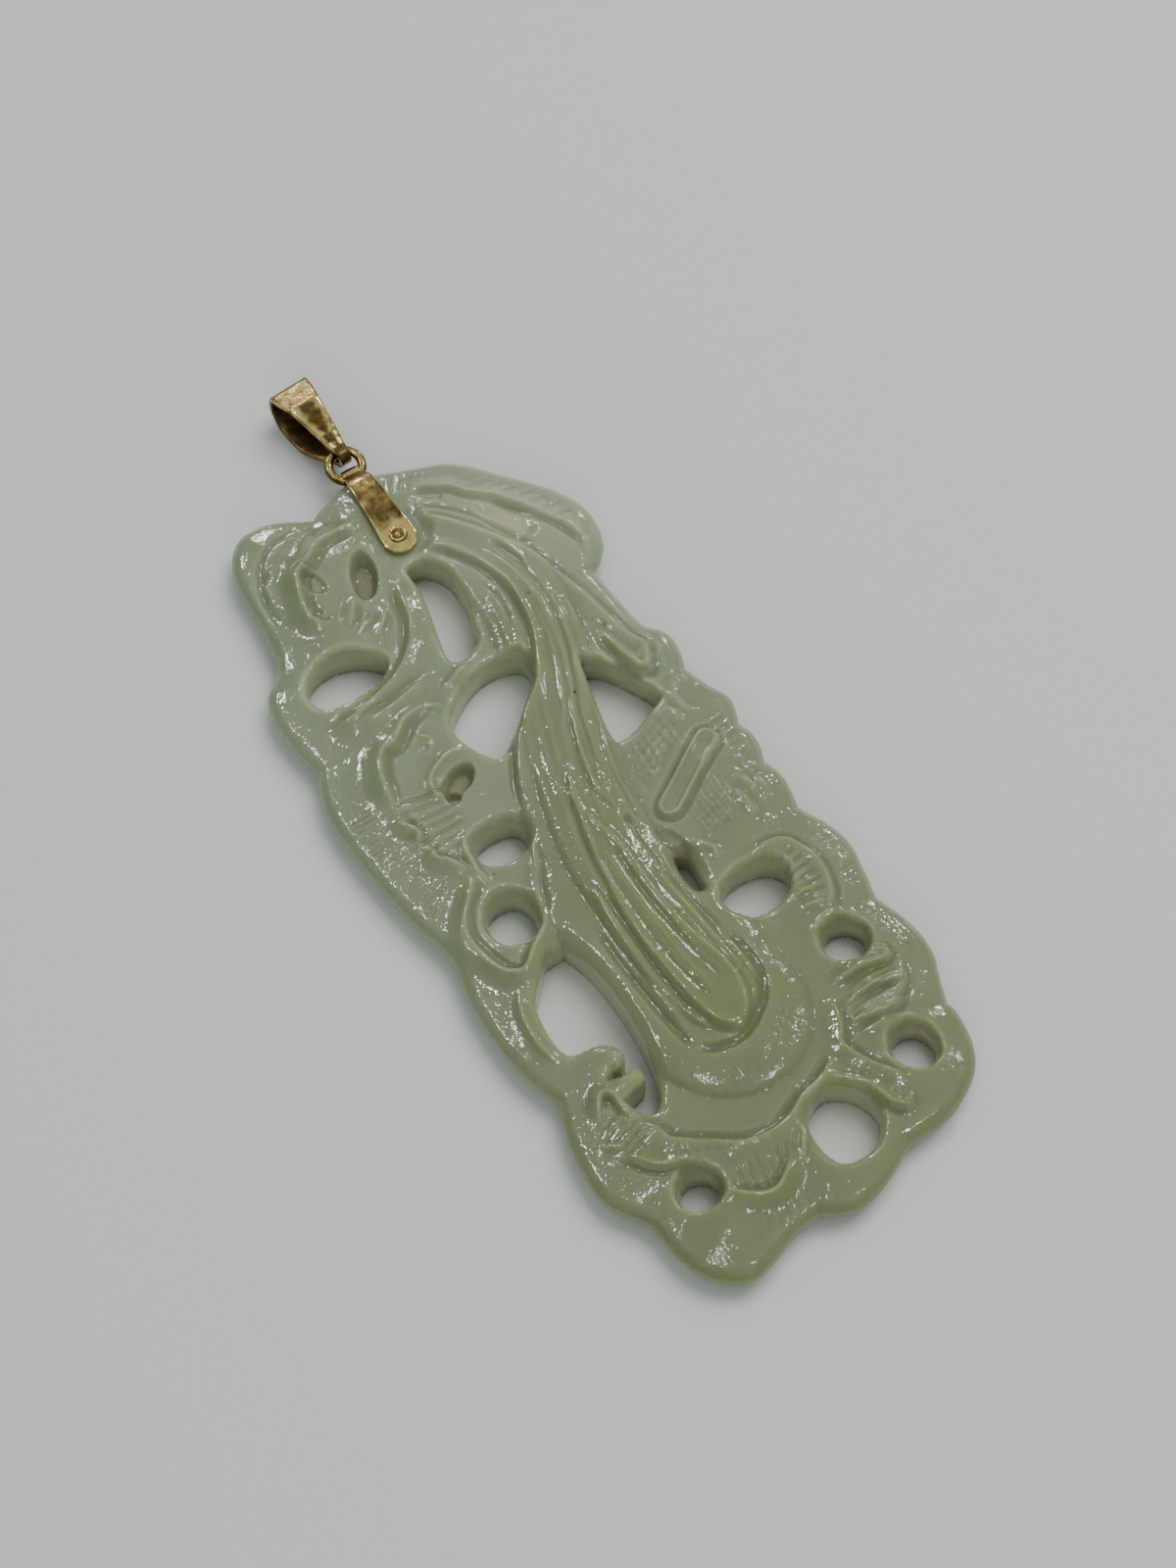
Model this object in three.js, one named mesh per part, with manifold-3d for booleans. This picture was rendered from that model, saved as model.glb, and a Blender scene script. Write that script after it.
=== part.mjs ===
// A pierced jade pendant, carved in one piece as a head of Chinese cabbage among curling leaves.
// It hangs by a gold strap folded over its top edge and riveted through it, a loose wire ring
// and a tapered gold bail. It is drawn lying on its back, bail towards +Y, face up. Millimetres.
import * as THREE from "three";
import { mergeVertices } from "three/addons/utils/BufferGeometryUtils.js";
import Module from "manifold-3d";

const wasm = await Module();
wasm.setup();

// Jade: sizes that drive the carving.
const carvingLength = 66.1; // from the bottom lobes to the top leaf
const rimThickness = 2.6; // leaf at its outer border
const leafThickness = 3.5; // leaf inside the sloping border
const stemRise = 1.5; // how far the cabbage stands above its leaves
const borderWidth = 3.4; // sloping border of the leaves
const borderLip = 0.5; // level strip along the outer edge, before the slope
const edgeRound = 1.2; // rounding of the outer edge
const roundReach = 1.4; // how far in that rounding is spread over the lattice
const edgeMiddle = 1.55; // height of the widest line of the edge
const boreRadius = 0.5; // drilled hole for the rivet
const seatFace = 2.95; // height of the flat cut for the strap in the face
const seatBack = 0.78; // and in the back
const seatMiddle = 1.8; // height of the widest line of the edge under the strap
const seatMargin = 0.35; // flat beyond the sides of the strap
const seatBlend = 0.9; // slope around the flats
const backSink = 0.25; // the back is carved this much too low, then cut flat at the table
const cutterLength = 20; // longer than anything that is cut
const latticeStep = 0.9; // facet size of the carved surface
const outlineFacet = 0.4; // spacing of the points along the outer line
const holeFacet = 0.6; // and along the rims of the holes
const snapShare = 0.3; // lattice points closer to an edge than this share of a step move onto it

// Gold: sizes of the hanging parts.
const strapThickness = 0.36;
const strapEndWidth = 2.7; // round ends
const strapNeckWidth = 1.3; // where it passes through the ring
const strapOverhang = 1.45; // round end beyond the rivet
const fitGap = 0.12; // air between strap, jade and ring
const rivetRadius = 0.4;
const rivetHeadRadius = 0.68;
const rivetHeadHeight = 0.16;
const wireRadius = 0.32; // ring wire
const ringRadius = 1.18; // centre line of the ring
const ringTilt = 13; // degrees by which the ring's far side stands up
const bailLength = 7.4;
const bailDepth = 3.7; // front to back
const bailTopWidth = 3.05;
const bailFootWidth = 0.6;
const bailShift = 0.1; // the bail hangs this far to the right on the ring
const bailTurn = 5; // degrees that it leans to the left from there
const bailThickness = 0.42;
const bailRest = 0.02; // the bail's back clears the table by this much
const bailGap = 0.18; // air between the bail and the ring's wire
const strapBend = 1.2; // before the top edge, where the strap's leaves start to turn into the fold
const foldStart = 0.1; // how far inside the top edge the fold starts
const frontDip = 0.16; // how far the front leaf has turned in there
const backDip = 0.12; // and the back leaf
const headPlay = 0.02; // air between the strap and the rivet's heads
const borePlay = 0.03; // air between the strap and the rivet's pin
const strapTurn = -3.6; // degrees that the strap leans from the long axis
const roundFacets = 20; // sides of the bores and the rivet

// Plan points are written in millimetres for a carving 66.1 long, and follow its length.
const share = carvingLength / 66.1;
const plan = ([x, y]) => [x * share, y * share];

// Outer lobes, anticlockwise from the notch left of the strap: where each starts and how far it bulges.
const lobes = [
  [-0.9, 35.0, 3.3], [-8.3, 32.2, 0.1], [-8.9, 26.9, 1.6], [-11.4, 17.6, 1.5], [-12.1, 2.9, 0.1],
  [-11.8, 0.1, 0.2], [-12.7, -3.0, 0.3], [-11.9, -12.0, 1.6], [-11.8, -22.6, 4.3], [-2.8, -27.7, 1.3],
  [4.8, -27.1, 3.3], [12.5, -20.5, 1.6], [13.3, -11.6, 1.1], [13.1, -3.0, 0.6], [13.4, 1.1, 0.5],
  [13.7, 4.6, 0.8], [13.2, 10.1, 0.8], [12.9, 15.1, 0.0], [12.6, 20.4, 1.6], [14.5, 27.0, 1.7],
  [7.7, 34.5, 0.5],
];

// Pierced holes: corner and bulge of each side, or centre, two radii and a turn in degrees.
const pierced = [
  { corners: [[1.1, 18.9, 0], [3.3, 20.0, 0.1], [4.3, 23.0, 0.1], [3.3, 27.3, 0], [2.3, 27.3, 0],
    [0.2, 20.2, 0]] },
  { corners: [[-1.0, 11.0, 0], [4.3, 15.0, 0.1], [4.3, 17.3, 0.1], [0.8, 17.2, 0], [-2.9, 14.8, 0]] },
  { corners: [[5.9, 7.6, 0.1], [10.5, 8.6, 0.1], [10.2, 12.2, 0], [8.9, 14.6, 0], [7.9, 13.9, 0]] },
  { corners: [[-9.3, 22.3, 0.1], [-7.2, 20.8, 0.1], [-3.4, 21.4, 0.2], [-3.3, 23.6, 0.1], [-8.1, 24.9, 0]] },
  { corners: [[-5.5, -2.8, 0], [-8.4, -4.3, 0.2], [-9.9, -8.8, 0], [-9.2, -9.9, 0], [-7.2, -10.1, 0],
    [-6.9, -11.8, 0], [-8.6, -12.5, 0], [-6.7, -12.7, 0], [-6.7, -14.1, 0], [-8.9, -14.5, 0],
    [-8.1, -16.3, 0], [-6.8, -15.6, 0.1], [-5.0, -11.5, 0], [-4.9, -5.0, 0]] },
  { corners: [[0.0, -22.0, 0.1], [0.0, -25.2, 0.2], [1.3, -26.2, 0.3], [4.4, -24.2, 0.4],
    [2.0, -21.1, 0.1]] },
  { centre: [7.1, -7.0], radii: [2.6, 1.85], turn: 0 },
  { centre: [4.4, -3.3], radii: [0.85, 1.75], turn: 12 },
  { centre: [-4.7, 5.8], radii: [1.95, 1.4], turn: 0 },
  { centre: [-7.3, 0.5], radii: [1.5, 1.85], turn: 0 },
  { centre: [9.7, -13.3], radii: [1.35, 1.35], turn: 0 },
  { centre: [8.9, -21.9], radii: [1.35, 1.35], turn: 0 },
  { centre: [-8.4, -22.4], radii: [1.1, 1.1], turn: 0 },
];

// Blind pockets in the face: centre, two radii, a turn in degrees and the depth. A pocket's floor and
// its rim are shares of its radii.
const pocketFloor = 0.55;
const pocketRim = 1.15;
const pockets = [
  { centre: [-0.8, 28.4], radii: [1.3, 2.0], turn: -20, depth: 1.9 },
  { centre: [-4.4, 11.2], radii: [1.6, 1.6], turn: 0, depth: 1.7 },
  { centre: [9.6, 26.6], radii: [1.1, 2.1], turn: 25, depth: 1.5 },
];

// The cabbage, from its round root up its stems: plan point, half width, and share of the full rise.
const cabbage = [
  [0.0, -15.2, 4.9, 1.0], [-0.1, -10.0, 5.0, 1.0], [-0.4, -4.0, 4.6, 1.0], [0.0, 1.0, 4.0, 0.9],
  [1.5, 6.0, 3.6, 0.8], [3.7, 11.5, 3.2, 0.7], [5.7, 16.0, 3.2, 0.65], [6.9, 20.5, 3.2, 0.6],
  [6.6, 25.0, 3.0, 0.5], [4.8, 29.5, 2.4, 0.3],
];

// Raised ribs and leaf edges: half width, height, and the points along the crest.
const ribs = [
  { half: 1.05, high: 0.62, crest: [
    [0.9, 4.8], [-0.5, 0.3], [-1.5, -5.0], [-1.8, -10.0], [-1.2, -13.9], [0.3, -15.2],
    [1.6, -13.9], [1.7, -10.0], [1.1, -5.0], [1.6, 1.0],
  ] },
  { half: 1.0, high: 0.44, crest: [
    [-0.4, 6.0], [-2.3, -1.0], [-3.0, -6.0], [-3.1, -12.5],
  ] },
  { half: 1.0, high: 0.38, crest: [
    [3.0, 3.5], [2.6, -2.0], [2.9, -8.0], [3.1, -12.0],
  ] },
  { half: 1.1, high: 0.50, crest: [
    [-0.8, 9.3], [1.4, 12.3], [4.3, 14.5], [6.2, 18.0], [6.8, 22.0], [6.3, 25.2],
    [4.6, 28.0],
  ] },
  { half: 1.0, high: 0.44, crest: [
    [1.8, 7.4], [3.6, 12.0], [6.4, 15.6], [7.6, 19.5], [7.6, 23.5],
  ] },
  { half: 1.15, high: 0.69, crest: [
    [4.6, 30.2], [6.3, 28.4], [8.2, 25.2], [9.9, 21.3], [10.9, 17.3], [11.6, 13.4],
    [10.9, 12.0], [10.1, 13.2], [9.9, 16.0],
  ] },
  { half: 1.1, high: 0.62, crest: [
    [0.6, 26.6], [0.3, 24.4], [-1.5, 21.6], [-4.4, 20.3], [-7.2, 19.4], [-10.0, 19.2],
  ] },
  { half: 1.0, high: 0.50, crest: [
    [-1.2, 19.3], [-4.1, 18.5], [-8.0, 18.2],
  ] },
  { half: 1.1, high: 0.56, crest: [
    [1.5, 32.3], [-0.7, 32.7], [-3.6, 31.8], [-5.2, 29.6], [-5.7, 27.2], [-4.4, 26.6],
  ] },
  { half: 1.0, high: 0.56, crest: [
    [-2.8, 17.5], [-5.0, 17.0], [-6.8, 15.4], [-8.4, 14.0], [-9.2, 11.2], [-9.0, 8.6],
    [-8.3, 6.4],
  ] },
  { half: 1.0, high: 0.50, crest: [
    [-5.4, 0.3], [-7.2, -2.3], [-8.7, -3.4], [-10.0, -1.6], [-10.3, 0.6], [-9.0, 3.2],
    [-6.9, 6.2],
  ] },
  { half: 1.0, high: 0.56, crest: [
    [5.2, 32.6], [7.4, 31.8], [9.7, 29.7], [11.5, 27.1], [12.9, 24.4], [13.4, 22.3],
  ] },
  { half: 1.05, high: 0.62, crest: [
    [5.3, 1.0], [7.2, 2.7], [10.8, 4.2], [10.2, 3.0], [7.3, 1.2], [5.6, 0.5],
  ] },
  { half: 1.05, high: 0.56, crest: [
    [6.4, -4.0], [7.4, -4.7], [9.9, -4.7], [11.4, -6.5], [11.5, -8.8], [10.2, -10.8],
    [8.2, -11.4],
  ] },
  { half: 1.0, high: 0.50, crest: [
    [7.2, -15.4], [11.0, -15.8], [11.2, -17.0], [9.3, -18.9], [6.6, -18.6], [5.2, -19.4],
    [5.6, -21.6], [7.2, -24.3],
  ] },
  { half: 1.05, high: 0.56, crest: [
    [4.2, -20.0], [1.5, -20.8], [-1.8, -22.0], [-4.4, -21.4], [-6.4, -19.9], [-8.2, -18.6],
  ] },
  { half: 1.0, high: 0.50, crest: [
    [6.4, -24.6], [5.4, -25.0], [4.0, -22.4], [2.2, -20.9],
  ] },
  { half: 1.0, high: 0.50, crest: [
    [-0.3, -22.3], [-1.7, -24.3], [-4.8, -25.2], [-7.4, -24.3], [-6.6, -22.0],
  ] },
  { half: 1.0, high: 0.50, crest: [
    [-11.4, -17.9], [-9.7, -19.6], [-7.4, -20.7],
  ] },
  { half: 1.0, high: 0.44, crest: [
    [-10.6, -15.2], [-9.7, -13.9], [-9.0, -15.6],
  ] },
];

// The strap's rivet goes through the carving here, and its fold meets the ring above the top edge.
const rivetAt = plan([2.85, 29.75]);

// Plane curves.

// Points along the arc from a to b that bulges to the right of the way, which is outwards on an
// anticlockwise outline.
function arcPoints(a, b, bulge, step) {
  const chord = Math.hypot(b[0] - a[0], b[1] - a[1]);
  const count = Math.max(2, Math.ceil(chord / step));
  const out = [(b[1] - a[1]) / chord, -(b[0] - a[0]) / chord];
  return Array.from({ length: count }, (_, k) => {
    const t = k / count;
    const lift = bulge * 4 * t * (1 - t);
    return [a[0] + (b[0] - a[0]) * t + out[0] * lift, a[1] + (b[1] - a[1]) * t + out[1] * lift];
  });
}

// Rounds the corners of a closed line by moving each point towards the middle of its neighbours.
function soften(points, passes) {
  for (let pass = 0; pass < passes; pass++) {
    points = points.map((p, i) => {
      const before = points[(i + points.length - 1) % points.length];
      const after = points[(i + 1) % points.length];
      return [(before[0] + 2 * p[0] + after[0]) / 4, (before[1] + 2 * p[1] + after[1]) / 4];
    });
  }
  return points;
}

function closedLine(corners, step, passes) {
  const placed = corners.map(([x, y, bulge]) => [x * share, y * share, bulge * share]);
  const points = placed.flatMap((c, i) => arcPoints(c, placed[(i + 1) % placed.length], c[2], step));
  return soften(points, passes);
}

function ellipseLine({ centre, radii, turn }, count) {
  const [cx, cy] = plan(centre);
  const a = THREE.MathUtils.degToRad(turn);
  return Array.from({ length: count }, (_, k) => {
    const t = (2 * Math.PI * k) / count;
    const [u, v] = [radii[0] * share * Math.cos(t), radii[1] * share * Math.sin(t)];
    return [cx + u * Math.cos(a) - v * Math.sin(a), cy + u * Math.sin(a) + v * Math.cos(a)];
  });
}

const outerLine = closedLine(lobes, outlineFacet, 3);
const holeLines = pierced.map((hole) => {
  return hole.corners ? closedLine(hole.corners, holeFacet, 2) : ellipseLine(hole, 16);
});

// Nearest point on a closed or open line, with how far along its segment it lies.
function nearest(points, closed, x, y) {
  let best = { distance: Infinity };
  const last = closed ? points.length : points.length - 1;
  for (let i = 0; i < last; i++) {
    const a = points[i];
    const b = points[(i + 1) % points.length];
    const [dx, dy] = [b[0] - a[0], b[1] - a[1]];
    const t = THREE.MathUtils.clamp(((x - a[0]) * dx + (y - a[1]) * dy) / (dx * dx + dy * dy), 0, 1);
    const [px, py] = [a[0] + dx * t, a[1] + dy * t];
    const distance = Math.hypot(x - px, y - py);
    if (distance < best.distance) best = { distance, x: px, y: py, index: i, t };
  }
  return best;
}

function inside(points, x, y) {
  let odd = false;
  points.forEach((a, i) => {
    const b = points[(i + 1) % points.length];
    if (a[1] > y !== b[1] > y && x < a[0] + ((b[0] - a[0]) * (y - a[1])) / (b[1] - a[1])) odd = !odd;
  });
  return odd;
}

// How far a plan point is inside the outer line, and the nearest point of that line.
function depthAt(x, y) {
  const found = nearest(outerLine, true, x, y);
  return { ...found, depth: inside(outerLine, x, y) ? found.distance : -found.distance };
}

// Height of the carved face.

const cabbageLine = cabbage.map(plan);
const ribLines = ribs.map(({ crest }) => {
  const curve = new THREE.CatmullRomCurve3(crest.map(plan).map(([x, y]) => new THREE.Vector3(x, y, 0)));
  return curve.getPoints(crest.length * 3).map((p) => [p.x, p.y]);
});

// 1 at the centre of a form and 0 at its side, round on top.
const dome = (ratio) => Math.sqrt(Math.max(0, 1 - ratio * ratio));
const swell = (ratio) => Math.max(0, 1 - ratio * ratio) ** 2;

function faceHeight(x, y) {
  const border = nearest(outerLine, true, x, y).distance;
  const slope = THREE.MathUtils.smoothstep(border, borderLip, borderWidth);
  let height = THREE.MathUtils.lerp(rimThickness, leafThickness, slope);
  const stem = nearest(cabbageLine, false, x, y);
  const [a, b] = [cabbage[stem.index], cabbage[stem.index + 1]];
  const half = (a[2] + (b[2] - a[2]) * stem.t) * share;
  const rise = stemRise * (a[3] + (b[3] - a[3]) * stem.t);
  height += rise * dome(stem.distance / half);
  const crests = ribs.map((rib, i) => {
    const off = nearest(ribLines[i], false, x, y).distance / (rib.half * share);
    return rib.high * share * swell(off);
  });
  height += Math.max(...crests);
  for (const { centre, radii, turn, depth } of pockets) {
    const [cx, cy] = plan(centre);
    const t = THREE.MathUtils.degToRad(turn);
    const [dx, dy] = [x - cx, y - cy];
    const u = (dx * Math.cos(t) + dy * Math.sin(t)) / (radii[0] * share);
    const v = (-dx * Math.sin(t) + dy * Math.cos(t)) / (radii[1] * share);
    height -= depth * share * (1 - THREE.MathUtils.smoothstep(Math.hypot(u, v), pocketFloor, pocketRim));
  }
  return height;
}

// The strap lies in a shallow seat, cut flat into both sides of the jade under it.
const seatHalfWidth = strapEndWidth / 2 + seatMargin;
const strapAngle = THREE.MathUtils.degToRad(strapTurn);
function seatShare(x, y) {
  const [dx, dy] = [x - rivetAt[0], y - rivetAt[1]];
  const across = dx * Math.cos(strapAngle) + dy * Math.sin(strapAngle);
  const along = -dx * Math.sin(strapAngle) + dy * Math.cos(strapAngle);
  const beyond = Math.hypot(across, Math.min(0, along));
  return 1 - THREE.MathUtils.smoothstep(beyond, seatHalfWidth, seatHalfWidth + seatBlend);
}

// Where a lattice point ends up: drawn towards the edge and lowered there, so that the edge is a
// quarter round.
function carve(x, y) {
  const found = depthAt(x, y);
  const depth = Math.max(0, found.depth);
  const angle = (Math.PI / 2) * Math.min(1, depth / roundReach);
  let [px, py] = [x, y];
  if (depth > 0 && depth < roundReach) {
    const spread = (roundReach - edgeRound) * (depth / roundReach) ** 3;
    const drawn = edgeRound * (1 - Math.cos(angle)) + spread;
    px = found.x + ((x - found.x) * drawn) / depth;
    py = found.y + ((y - found.y) * drawn) / depth;
  }
  const seat = seatShare(px, py);
  const middle = THREE.MathUtils.lerp(edgeMiddle, seatMiddle, seat);
  const face = THREE.MathUtils.lerp(faceHeight(px, py), seatFace, seat);
  const back = THREE.MathUtils.lerp(-backSink, seatBack, seat);
  const rise = Math.sin(angle);
  return { x: px, y: py, face: middle + (face - middle) * rise, back: middle - (middle - back) * rise };
}

// The carved solid.

// A triangle lattice over the plan, snapped to and clipped at the edges, then raised to face and back.
function carvedBody() {
  const xs = outerLine.map((p) => p[0]);
  const ys = outerLine.map((p) => p[1]);
  const [x0, y0] = [Math.min(...xs) - latticeStep, Math.min(...ys) - latticeStep];
  const rowStep = (latticeStep * Math.sqrt(3)) / 2;
  const columns = Math.ceil((Math.max(...xs) - x0) / latticeStep) + 2;
  const rows = Math.ceil((Math.max(...ys) - y0) / rowStep) + 2;
  const points = []; // x, y and depth inside the jade, 0 on an edge
  const add = (x, y, snap) => {
    const found = depthAt(x, y);
    const onEdge = Math.abs(found.depth) < snap;
    points.push(onEdge ? { x: found.x, y: found.y, depth: 0 } : { x, y, depth: found.depth });
    return points.length - 1;
  };
  for (let j = 0; j < rows; j++)
    for (let i = 0; i < columns; i++)
      add(x0 + (i + (j % 2) / 2) * latticeStep, y0 + j * rowStep, latticeStep * snapShare);

  const cuts = new Map(); // where a lattice side crosses an edge
  const cut = (a, b) => {
    const key = Math.min(a, b) + "_" + Math.max(a, b);
    if (!cuts.has(key)) {
      const [p, q] = [points[a], points[b]];
      const t = p.depth / (p.depth - q.depth);
      cuts.set(key, add(p.x + (q.x - p.x) * t, p.y + (q.y - p.y) * t, Infinity));
    }
    return cuts.get(key);
  };
  const gap = (a, b) => Math.hypot(points[a].x - points[b].x, points[a].y - points[b].y);
  let faces = [];
  const clip = (corners) => {
    if (!corners.some((k) => points[k].depth > 0)) {
      const onEdges = corners.every((k) => points[k].depth === 0);
      const [mx, my] = ["x", "y"].map((axis) => corners.reduce((sum, k) => sum + points[k][axis], 0) / 3);
      if (onEdges && depthAt(mx, my).depth > 0) faces.push(corners);
      return;
    }
    const kept = corners.flatMap((a, i) => {
      const b = corners[(i + 1) % 3];
      const here = points[a].depth >= 0 ? [a] : [];
      return points[a].depth * points[b].depth < 0 ? [...here, cut(a, b)] : here;
    });
    const [a, b, c, d] = kept;
    if (kept.length === 3) faces.push(kept);
    else if (gap(a, c) < gap(b, d)) faces.push([a, b, c], [a, c, d]);
    else faces.push([a, b, d], [b, c, d]);
  };
  for (let j = 0; j < rows - 1; j++)
    for (let i = 0; i < columns - 1; i++) {
      const a = j * columns + i;
      const [b, c, d] = [a + 1, a + columns, a + columns + 1];
      if (j % 2) [[a, b, d], [a, d, c]].forEach(clip);
      else [[a, b, c], [b, d, c]].forEach(clip);
    }

  // A side that joins two edge points through the jade is split, so that face and back don't meet there.
  const users = new Map();
  faces.forEach((face, f) => face.forEach((a, i) => {
    const b = face[(i + 1) % 3];
    const key = Math.min(a, b) + "_" + Math.max(a, b);
    if (points[a].depth === 0 && points[b].depth === 0) users.set(key, [...(users.get(key) ?? []), f]);
  }));
  for (const [key, pair] of users) {
    if (pair.length !== 2) continue;
    const [a, b] = key.split("_").map(Number);
    const middle = add((points[a].x + points[b].x) / 2, (points[a].y + points[b].y) / 2, 0);
    const parts = faces.filter((face) => face.includes(a) && face.includes(b));
    faces = faces.filter((face) => !parts.includes(face));
    for (const face of parts) {
      faces.push(face.map((k) => (k === a ? middle : k)), face.map((k) => (k === b ? middle : k)));
    }
  }

  const used = [...new Set(faces.flat())];
  const place = new Map(used.map((k, n) => [k, n]));
  const position = [];
  const backOf = new Map();
  const carved = used.map((k) => carve(points[k].x, points[k].y));
  carved.forEach((p) => position.push(p.x, p.y, p.face));
  used.forEach((k, n) => {
    if (points[k].depth === 0) backOf.set(n, n);
    else {
      backOf.set(n, position.length / 3);
      position.push(carved[n].x, carved[n].y, carved[n].back);
    }
  });
  const index = faces.flatMap((face) => {
    const [a, b, c] = face.map((k) => place.get(k));
    return [a, b, c, backOf.get(a), backOf.get(c), backOf.get(b)];
  });
  const geometry = new THREE.BufferGeometry();
  geometry.setAttribute("position", new THREE.Float32BufferAttribute(position, 3));
  geometry.setIndex(index);
  geometry.computeVertexNormals();
  return geometry;
}

function boreCutter(radius) {
  return new THREE.CylinderGeometry(radius, radius, cutterLength, roundFacets).rotateX(Math.PI / 2);
}

// The flat back, the pierced holes and the rivet's bore are cut out of the carved body.
function piercedJade() {
  const table = new THREE.BoxGeometry(3 * carvingLength, 3 * carvingLength, cutterLength);
  table.translate(0, 0, -cutterLength / 2);
  const drill = boreCutter(boreRadius).translate(rivetAt[0], rivetAt[1], 0);
  const cutters = holeLines.map((line) => {
    const shape = new THREE.Shape(line.map(([x, y]) => new THREE.Vector2(x, y)));
    const cutter = new THREE.ExtrudeGeometry(shape, { depth: cutterLength, bevelEnabled: false });
    return cutter.translate(0, 0, -cutterLength / 2);
  });
  let solid = toSolid(carvedBody());
  for (const cutter of [table, drill, ...cutters]) solid = solid.subtract(toSolid(cutter));
  return toGeometry(solid);
}

// Gold parts, drawn in the strap's own frame: the rivet's axis at the origin, +Y towards the bail.

// A flat band with a rectangular section, swept along points of a side view: [y, z, half width].
function bandGeometry(path, thickness, closed) {
  const rings = path.map(([y, z, half], i) => {
    const before = path[closed ? (i + path.length - 1) % path.length : Math.max(0, i - 1)];
    const after = path[closed ? (i + 1) % path.length : Math.min(path.length - 1, i + 1)];
    const along = new THREE.Vector2(after[0] - before[0], after[1] - before[1]).normalize();
    const [ny, nz] = [(-along.y * thickness) / 2, (along.x * thickness) / 2];
    const [outer, inner] = [[y + ny, z + nz], [y - ny, z - nz]];
    return [[-half, ...outer], [half, ...outer], [half, ...inner], [-half, ...inner]];
  });
  const index = [];
  const spans = closed ? rings.length : rings.length - 1;
  for (let i = 0; i < spans; i++)
    for (let k = 0; k < 4; k++) {
      const [a, b] = [i * 4 + k, i * 4 + ((k + 1) % 4)];
      const next = (((i + 1) % rings.length) - i) * 4;
      index.push(a, b, b + next, a, b + next, a + next);
    }
  if (!closed) {
    const end = (rings.length - 1) * 4;
    index.push(0, 2, 1, 0, 3, 2, end, end + 1, end + 2, end, end + 2, end + 3);
  }
  const geometry = new THREE.BufferGeometry();
  geometry.setAttribute("position", new THREE.Float32BufferAttribute(rings.flat(2), 3));
  geometry.setIndex(index);
  geometry.computeVertexNormals();
  return geometry;
}

function toSolid(geometry) {
  const bare = geometry.clone();
  bare.deleteAttribute("normal");
  bare.deleteAttribute("uv");
  const merged = mergeVertices(bare, 1e-4);
  return new wasm.Manifold(new wasm.Mesh({
    numProp: 3,
    vertProperties: merged.attributes.position.array,
    triVerts: new Uint32Array(merged.index.array),
  }));
}

function toGeometry(solid) {
  const mesh = solid.getMesh();
  const geometry = new THREE.BufferGeometry();
  geometry.setAttribute("position", new THREE.Float32BufferAttribute(mesh.vertProperties, 3));
  geometry.setIndex(Array.from(mesh.triVerts));
  geometry.computeVertexNormals();
  return geometry;
}

// Heights of the strap's two leaves, which clear the seats cut for them.
const frontLeaf = seatFace + fitGap + strapThickness / 2;
const backLeaf = seatBack - fitGap - strapThickness / 2;
const underStrap = outerLine.filter(([x, y]) => Math.abs(x - rivetAt[0]) < seatHalfWidth && y > rivetAt[1]);
const topEdge = Math.max(...underStrap.map((p) => p[1])) - rivetAt[1];
// The ring's wire curves by this much over the width of the strap in it.
const wireBow = ringRadius - Math.sqrt(ringRadius ** 2 - (strapNeckWidth / 2) ** 2);
const foldRadius = wireRadius + fitGap + strapThickness / 2 + wireBow / 2;
const foldAt = topEdge + 2 * fitGap + strapThickness + wireRadius + wireBow / 2;
const ringAt = foldAt - wireBow / 2 + ringRadius; // the ring's centre
const ringHeight = seatMiddle; // the ring's near side lies level with the edge's middle
const ringLean = THREE.MathUtils.degToRad(ringTilt);
const wireAt = ringAt - ringRadius + 2 * ringRadius * Math.cos(ringLean); // the ring's far side
const wireHeight = ringHeight + 2 * ringRadius * Math.sin(ringLean);

// Side view of the strap, from the tip of its front leaf round the fold to the tip of its back leaf.
function strapPath() {
  const tip = strapEndWidth / 2;
  const roundEnd = [0.02, 0.1, 0.25, 0.45, 0.7, 1].map((s) => -strapOverhang + s * tip);
  const straight = [...roundEnd, topEdge / 2, topEdge - strapBend];
  const front = [...straight.map((y) => [y, frontLeaf]), [topEdge - foldStart, frontLeaf - frontDip]];
  const back = [...straight.map((y) => [y, backLeaf]), [topEdge - foldStart, backLeaf + backDip]];
  const fold = Array.from({ length: 9 }, (_, k) => {
    const a = Math.PI / 2 - (Math.PI * k) / 8;
    return [foldAt + foldRadius * Math.cos(a), ringHeight + foldRadius * Math.sin(a)];
  });
  return [...front, ...fold, ...back.reverse()].map(([y, z]) => {
    const fromEnd = y + strapOverhang;
    const taper = THREE.MathUtils.clamp((fromEnd - tip) / (foldAt + strapOverhang - tip), 0, 1);
    const half = THREE.MathUtils.lerp(tip, strapNeckWidth / 2, taper);
    const round = fromEnd < tip ? Math.sqrt(Math.max(0, tip * tip - (tip - fromEnd) ** 2)) : half;
    return [y, z, Math.min(half, round)];
  });
}

function strapGeometry() {
  const band = toSolid(bandGeometry(strapPath(), strapThickness, false));
  return toGeometry(band.subtract(toSolid(boreCutter(rivetRadius + borePlay))));
}

// An eye in section, from its foot to its middle: shares of the head's radius and height.
const eyeSection = [
  [1, 0], [1, 0.5], [0.85, 1], [0.68, 0.9], [0.55, 0.3], [0.36, 0.4], [0.2, 0.95], [0, 1.1],
];

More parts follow.
